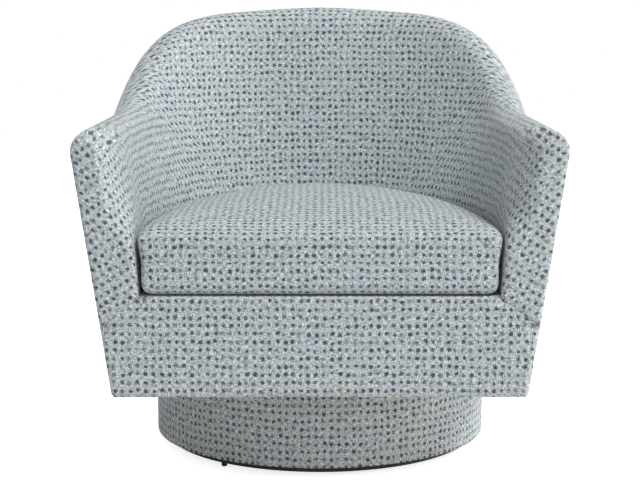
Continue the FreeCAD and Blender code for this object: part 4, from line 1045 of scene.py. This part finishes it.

# %% [markdown]
# Four coil springs keep the seat level on its shaft. Each stands on the turntable and is seated
# under the seat's bracket. A coil is a ring of wire spun round an axis while it climbs, which the
# spin operator does when given a rise per step.

# %% Rocker springs
COIL_RADIUS = 11.2
WIRE_RADIUS = 2.4
COIL_TURNS = 5.5
COIL_STEPS = 132
COIL_SIDE, COIL_FRONT = 30, 60
spring_low, spring_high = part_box("rocker_springs")
coil_foot = spring_low[2] + WIRE_RADIUS * MM
coil_head = spring_high[2] - WIRE_RADIUS * MM
coil_mesh = bmesh.new()
for x, y in ((-1, -1), (1, -1), (-1, 1), (1, 1)):
    axis_foot = Vector((x * COIL_SIDE * MM, y * COIL_FRONT * MM, coil_foot))
    start = Matrix.Translation(axis_foot + Vector((COIL_RADIUS * MM, 0, 0)))
    ring = bmesh.ops.create_circle(coil_mesh, segments=10, radius=WIRE_RADIUS * MM,
                                   matrix=start @ Matrix.Rotation(pi / 2, 4, "X"))["verts"]
    edges = list({edge for vert in ring for edge in vert.link_edges})
    bmesh.ops.spin(coil_mesh, geom=ring + edges, cent=axis_foot, axis=(0, 0, 1),
                   dvec=(0, 0, (coil_head - coil_foot) / COIL_STEPS),
                   angle=2 * pi * COIL_TURNS, steps=COIL_STEPS)
open_ends = [edge for edge in coil_mesh.edges if len(edge.link_faces) == 1]
bmesh.ops.holes_fill(coil_mesh, edges=open_ends, sides=0)
bmesh.ops.recalc_face_normals(coil_mesh, faces=coil_mesh.faces)
rocker_coils = finish_piece("rocker_coils", coil_mesh, finishes["spring_steel"], None)
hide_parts("rocker_springs")
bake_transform(rocker_coils)
print("springs:", round((coil_head - coil_foot) / MM), "mm high")

# %% [markdown]
# The photograph has a white ground and even light that comes a little more from the front right.
# A wide soft lamp stands there and high up, a weaker one stands low on the right and reaches the
# drum, and a pale room lights the rest. Both lamps are far off, so the two arms get nearly the
# same light. The white ground is the floor's own colour and a glow that only the camera sees.

# %% Studio
def soft_lamp(name, place, aim, width, watts):
    data = bpy.data.lights.new(name, "AREA")
    data.shape = "RECTANGLE"
    data.size = width
    data.size_y = width
    data.energy = watts
    lamp = bpy.data.objects.new(name, data)
    lamp.location = place
    lamp.rotation_euler = (Vector(aim) - Vector(place)).to_track_quat("-Z", "Y").to_euler()
    bpy.context.scene.collection.objects.link(lamp)


soft_lamp("key_softbox", (5.1, -4.0, 9.4), (0, 0, 0.45), 4.2, 915)
soft_lamp("side_softbox", (6.8, -0.6, 1.2), (0, 0, 0.35), 2.4, 180)

# %% [markdown]
# The room is one plain background. It lights the chair softly, while the camera and glossy
# surfaces see it as white. The floor does the same with a glow of its own that only the camera
# sees, so it looks white and still keeps the chair's shadow.

# %% Pale room and white floor
world = bpy.data.worlds.new("pale_room")
world.use_nodes = True
bpy.context.scene.world = world
room = world.node_tree
room_light = add(room, "ShaderNodeBackground", {}, {"Color": linear("#f4f6f8"), "Strength": 0.54})
room_seen = add(room, "ShaderNodeBackground", {}, {"Color": (1, 1, 1, 1), "Strength": 1.0})
path = add(room, "ShaderNodeLightPath")
seen = maths(room, "MAXIMUM", path.outputs["Is Camera Ray"], path.outputs["Is Glossy Ray"])
either = add(room, "ShaderNodeMixShader", {}, {0: seen, 1: room_light.outputs[0],
                                               2: room_seen.outputs[0]})
room.links.new(either.outputs[0], room.nodes["World Output"].inputs["Surface"])

floor_mesh = bmesh.new()
bmesh.ops.create_grid(floor_mesh, x_segments=1, y_segments=1, size=8)
floor_data = bpy.data.meshes.new("studio_floor")
floor_mesh.to_mesh(floor_data)
floor_mesh.free()
floor = bpy.data.objects.new("studio_floor", floor_data)
bpy.context.scene.collection.objects.link(floor)
# Matt white paint
floor_paint, floor_tree, floor_shader = new_material(
    "white_floor", Roughness=1.0, Base_Color=linear("#f2f2f2"), Specular_IOR_Level=0.0)
floor_glow = add(floor_tree, "ShaderNodeEmission", {}, {"Color": (1, 1, 1, 1), "Strength": 0.8})
floor_sum = add(floor_tree, "ShaderNodeAddShader", {}, {0: floor_shader.outputs[0],
                                                        1: floor_glow.outputs[0]})
floor_path = add(floor_tree, "ShaderNodeLightPath")
floor_mix = add(floor_tree, "ShaderNodeMixShader", {},
                {0: floor_path.outputs["Is Camera Ray"], 1: floor_shader.outputs[0],
                 2: floor_sum.outputs[0]})
floor_tree.links.new(floor_mix.outputs[0], floor_tree.nodes["Material Output"].inputs["Surface"])
floor_data.materials.append(floor_paint)

bpy.context.scene.view_settings.view_transform = "Standard"
print("studio: 2 lamps, floor", round(floor.dimensions.x), "m wide")
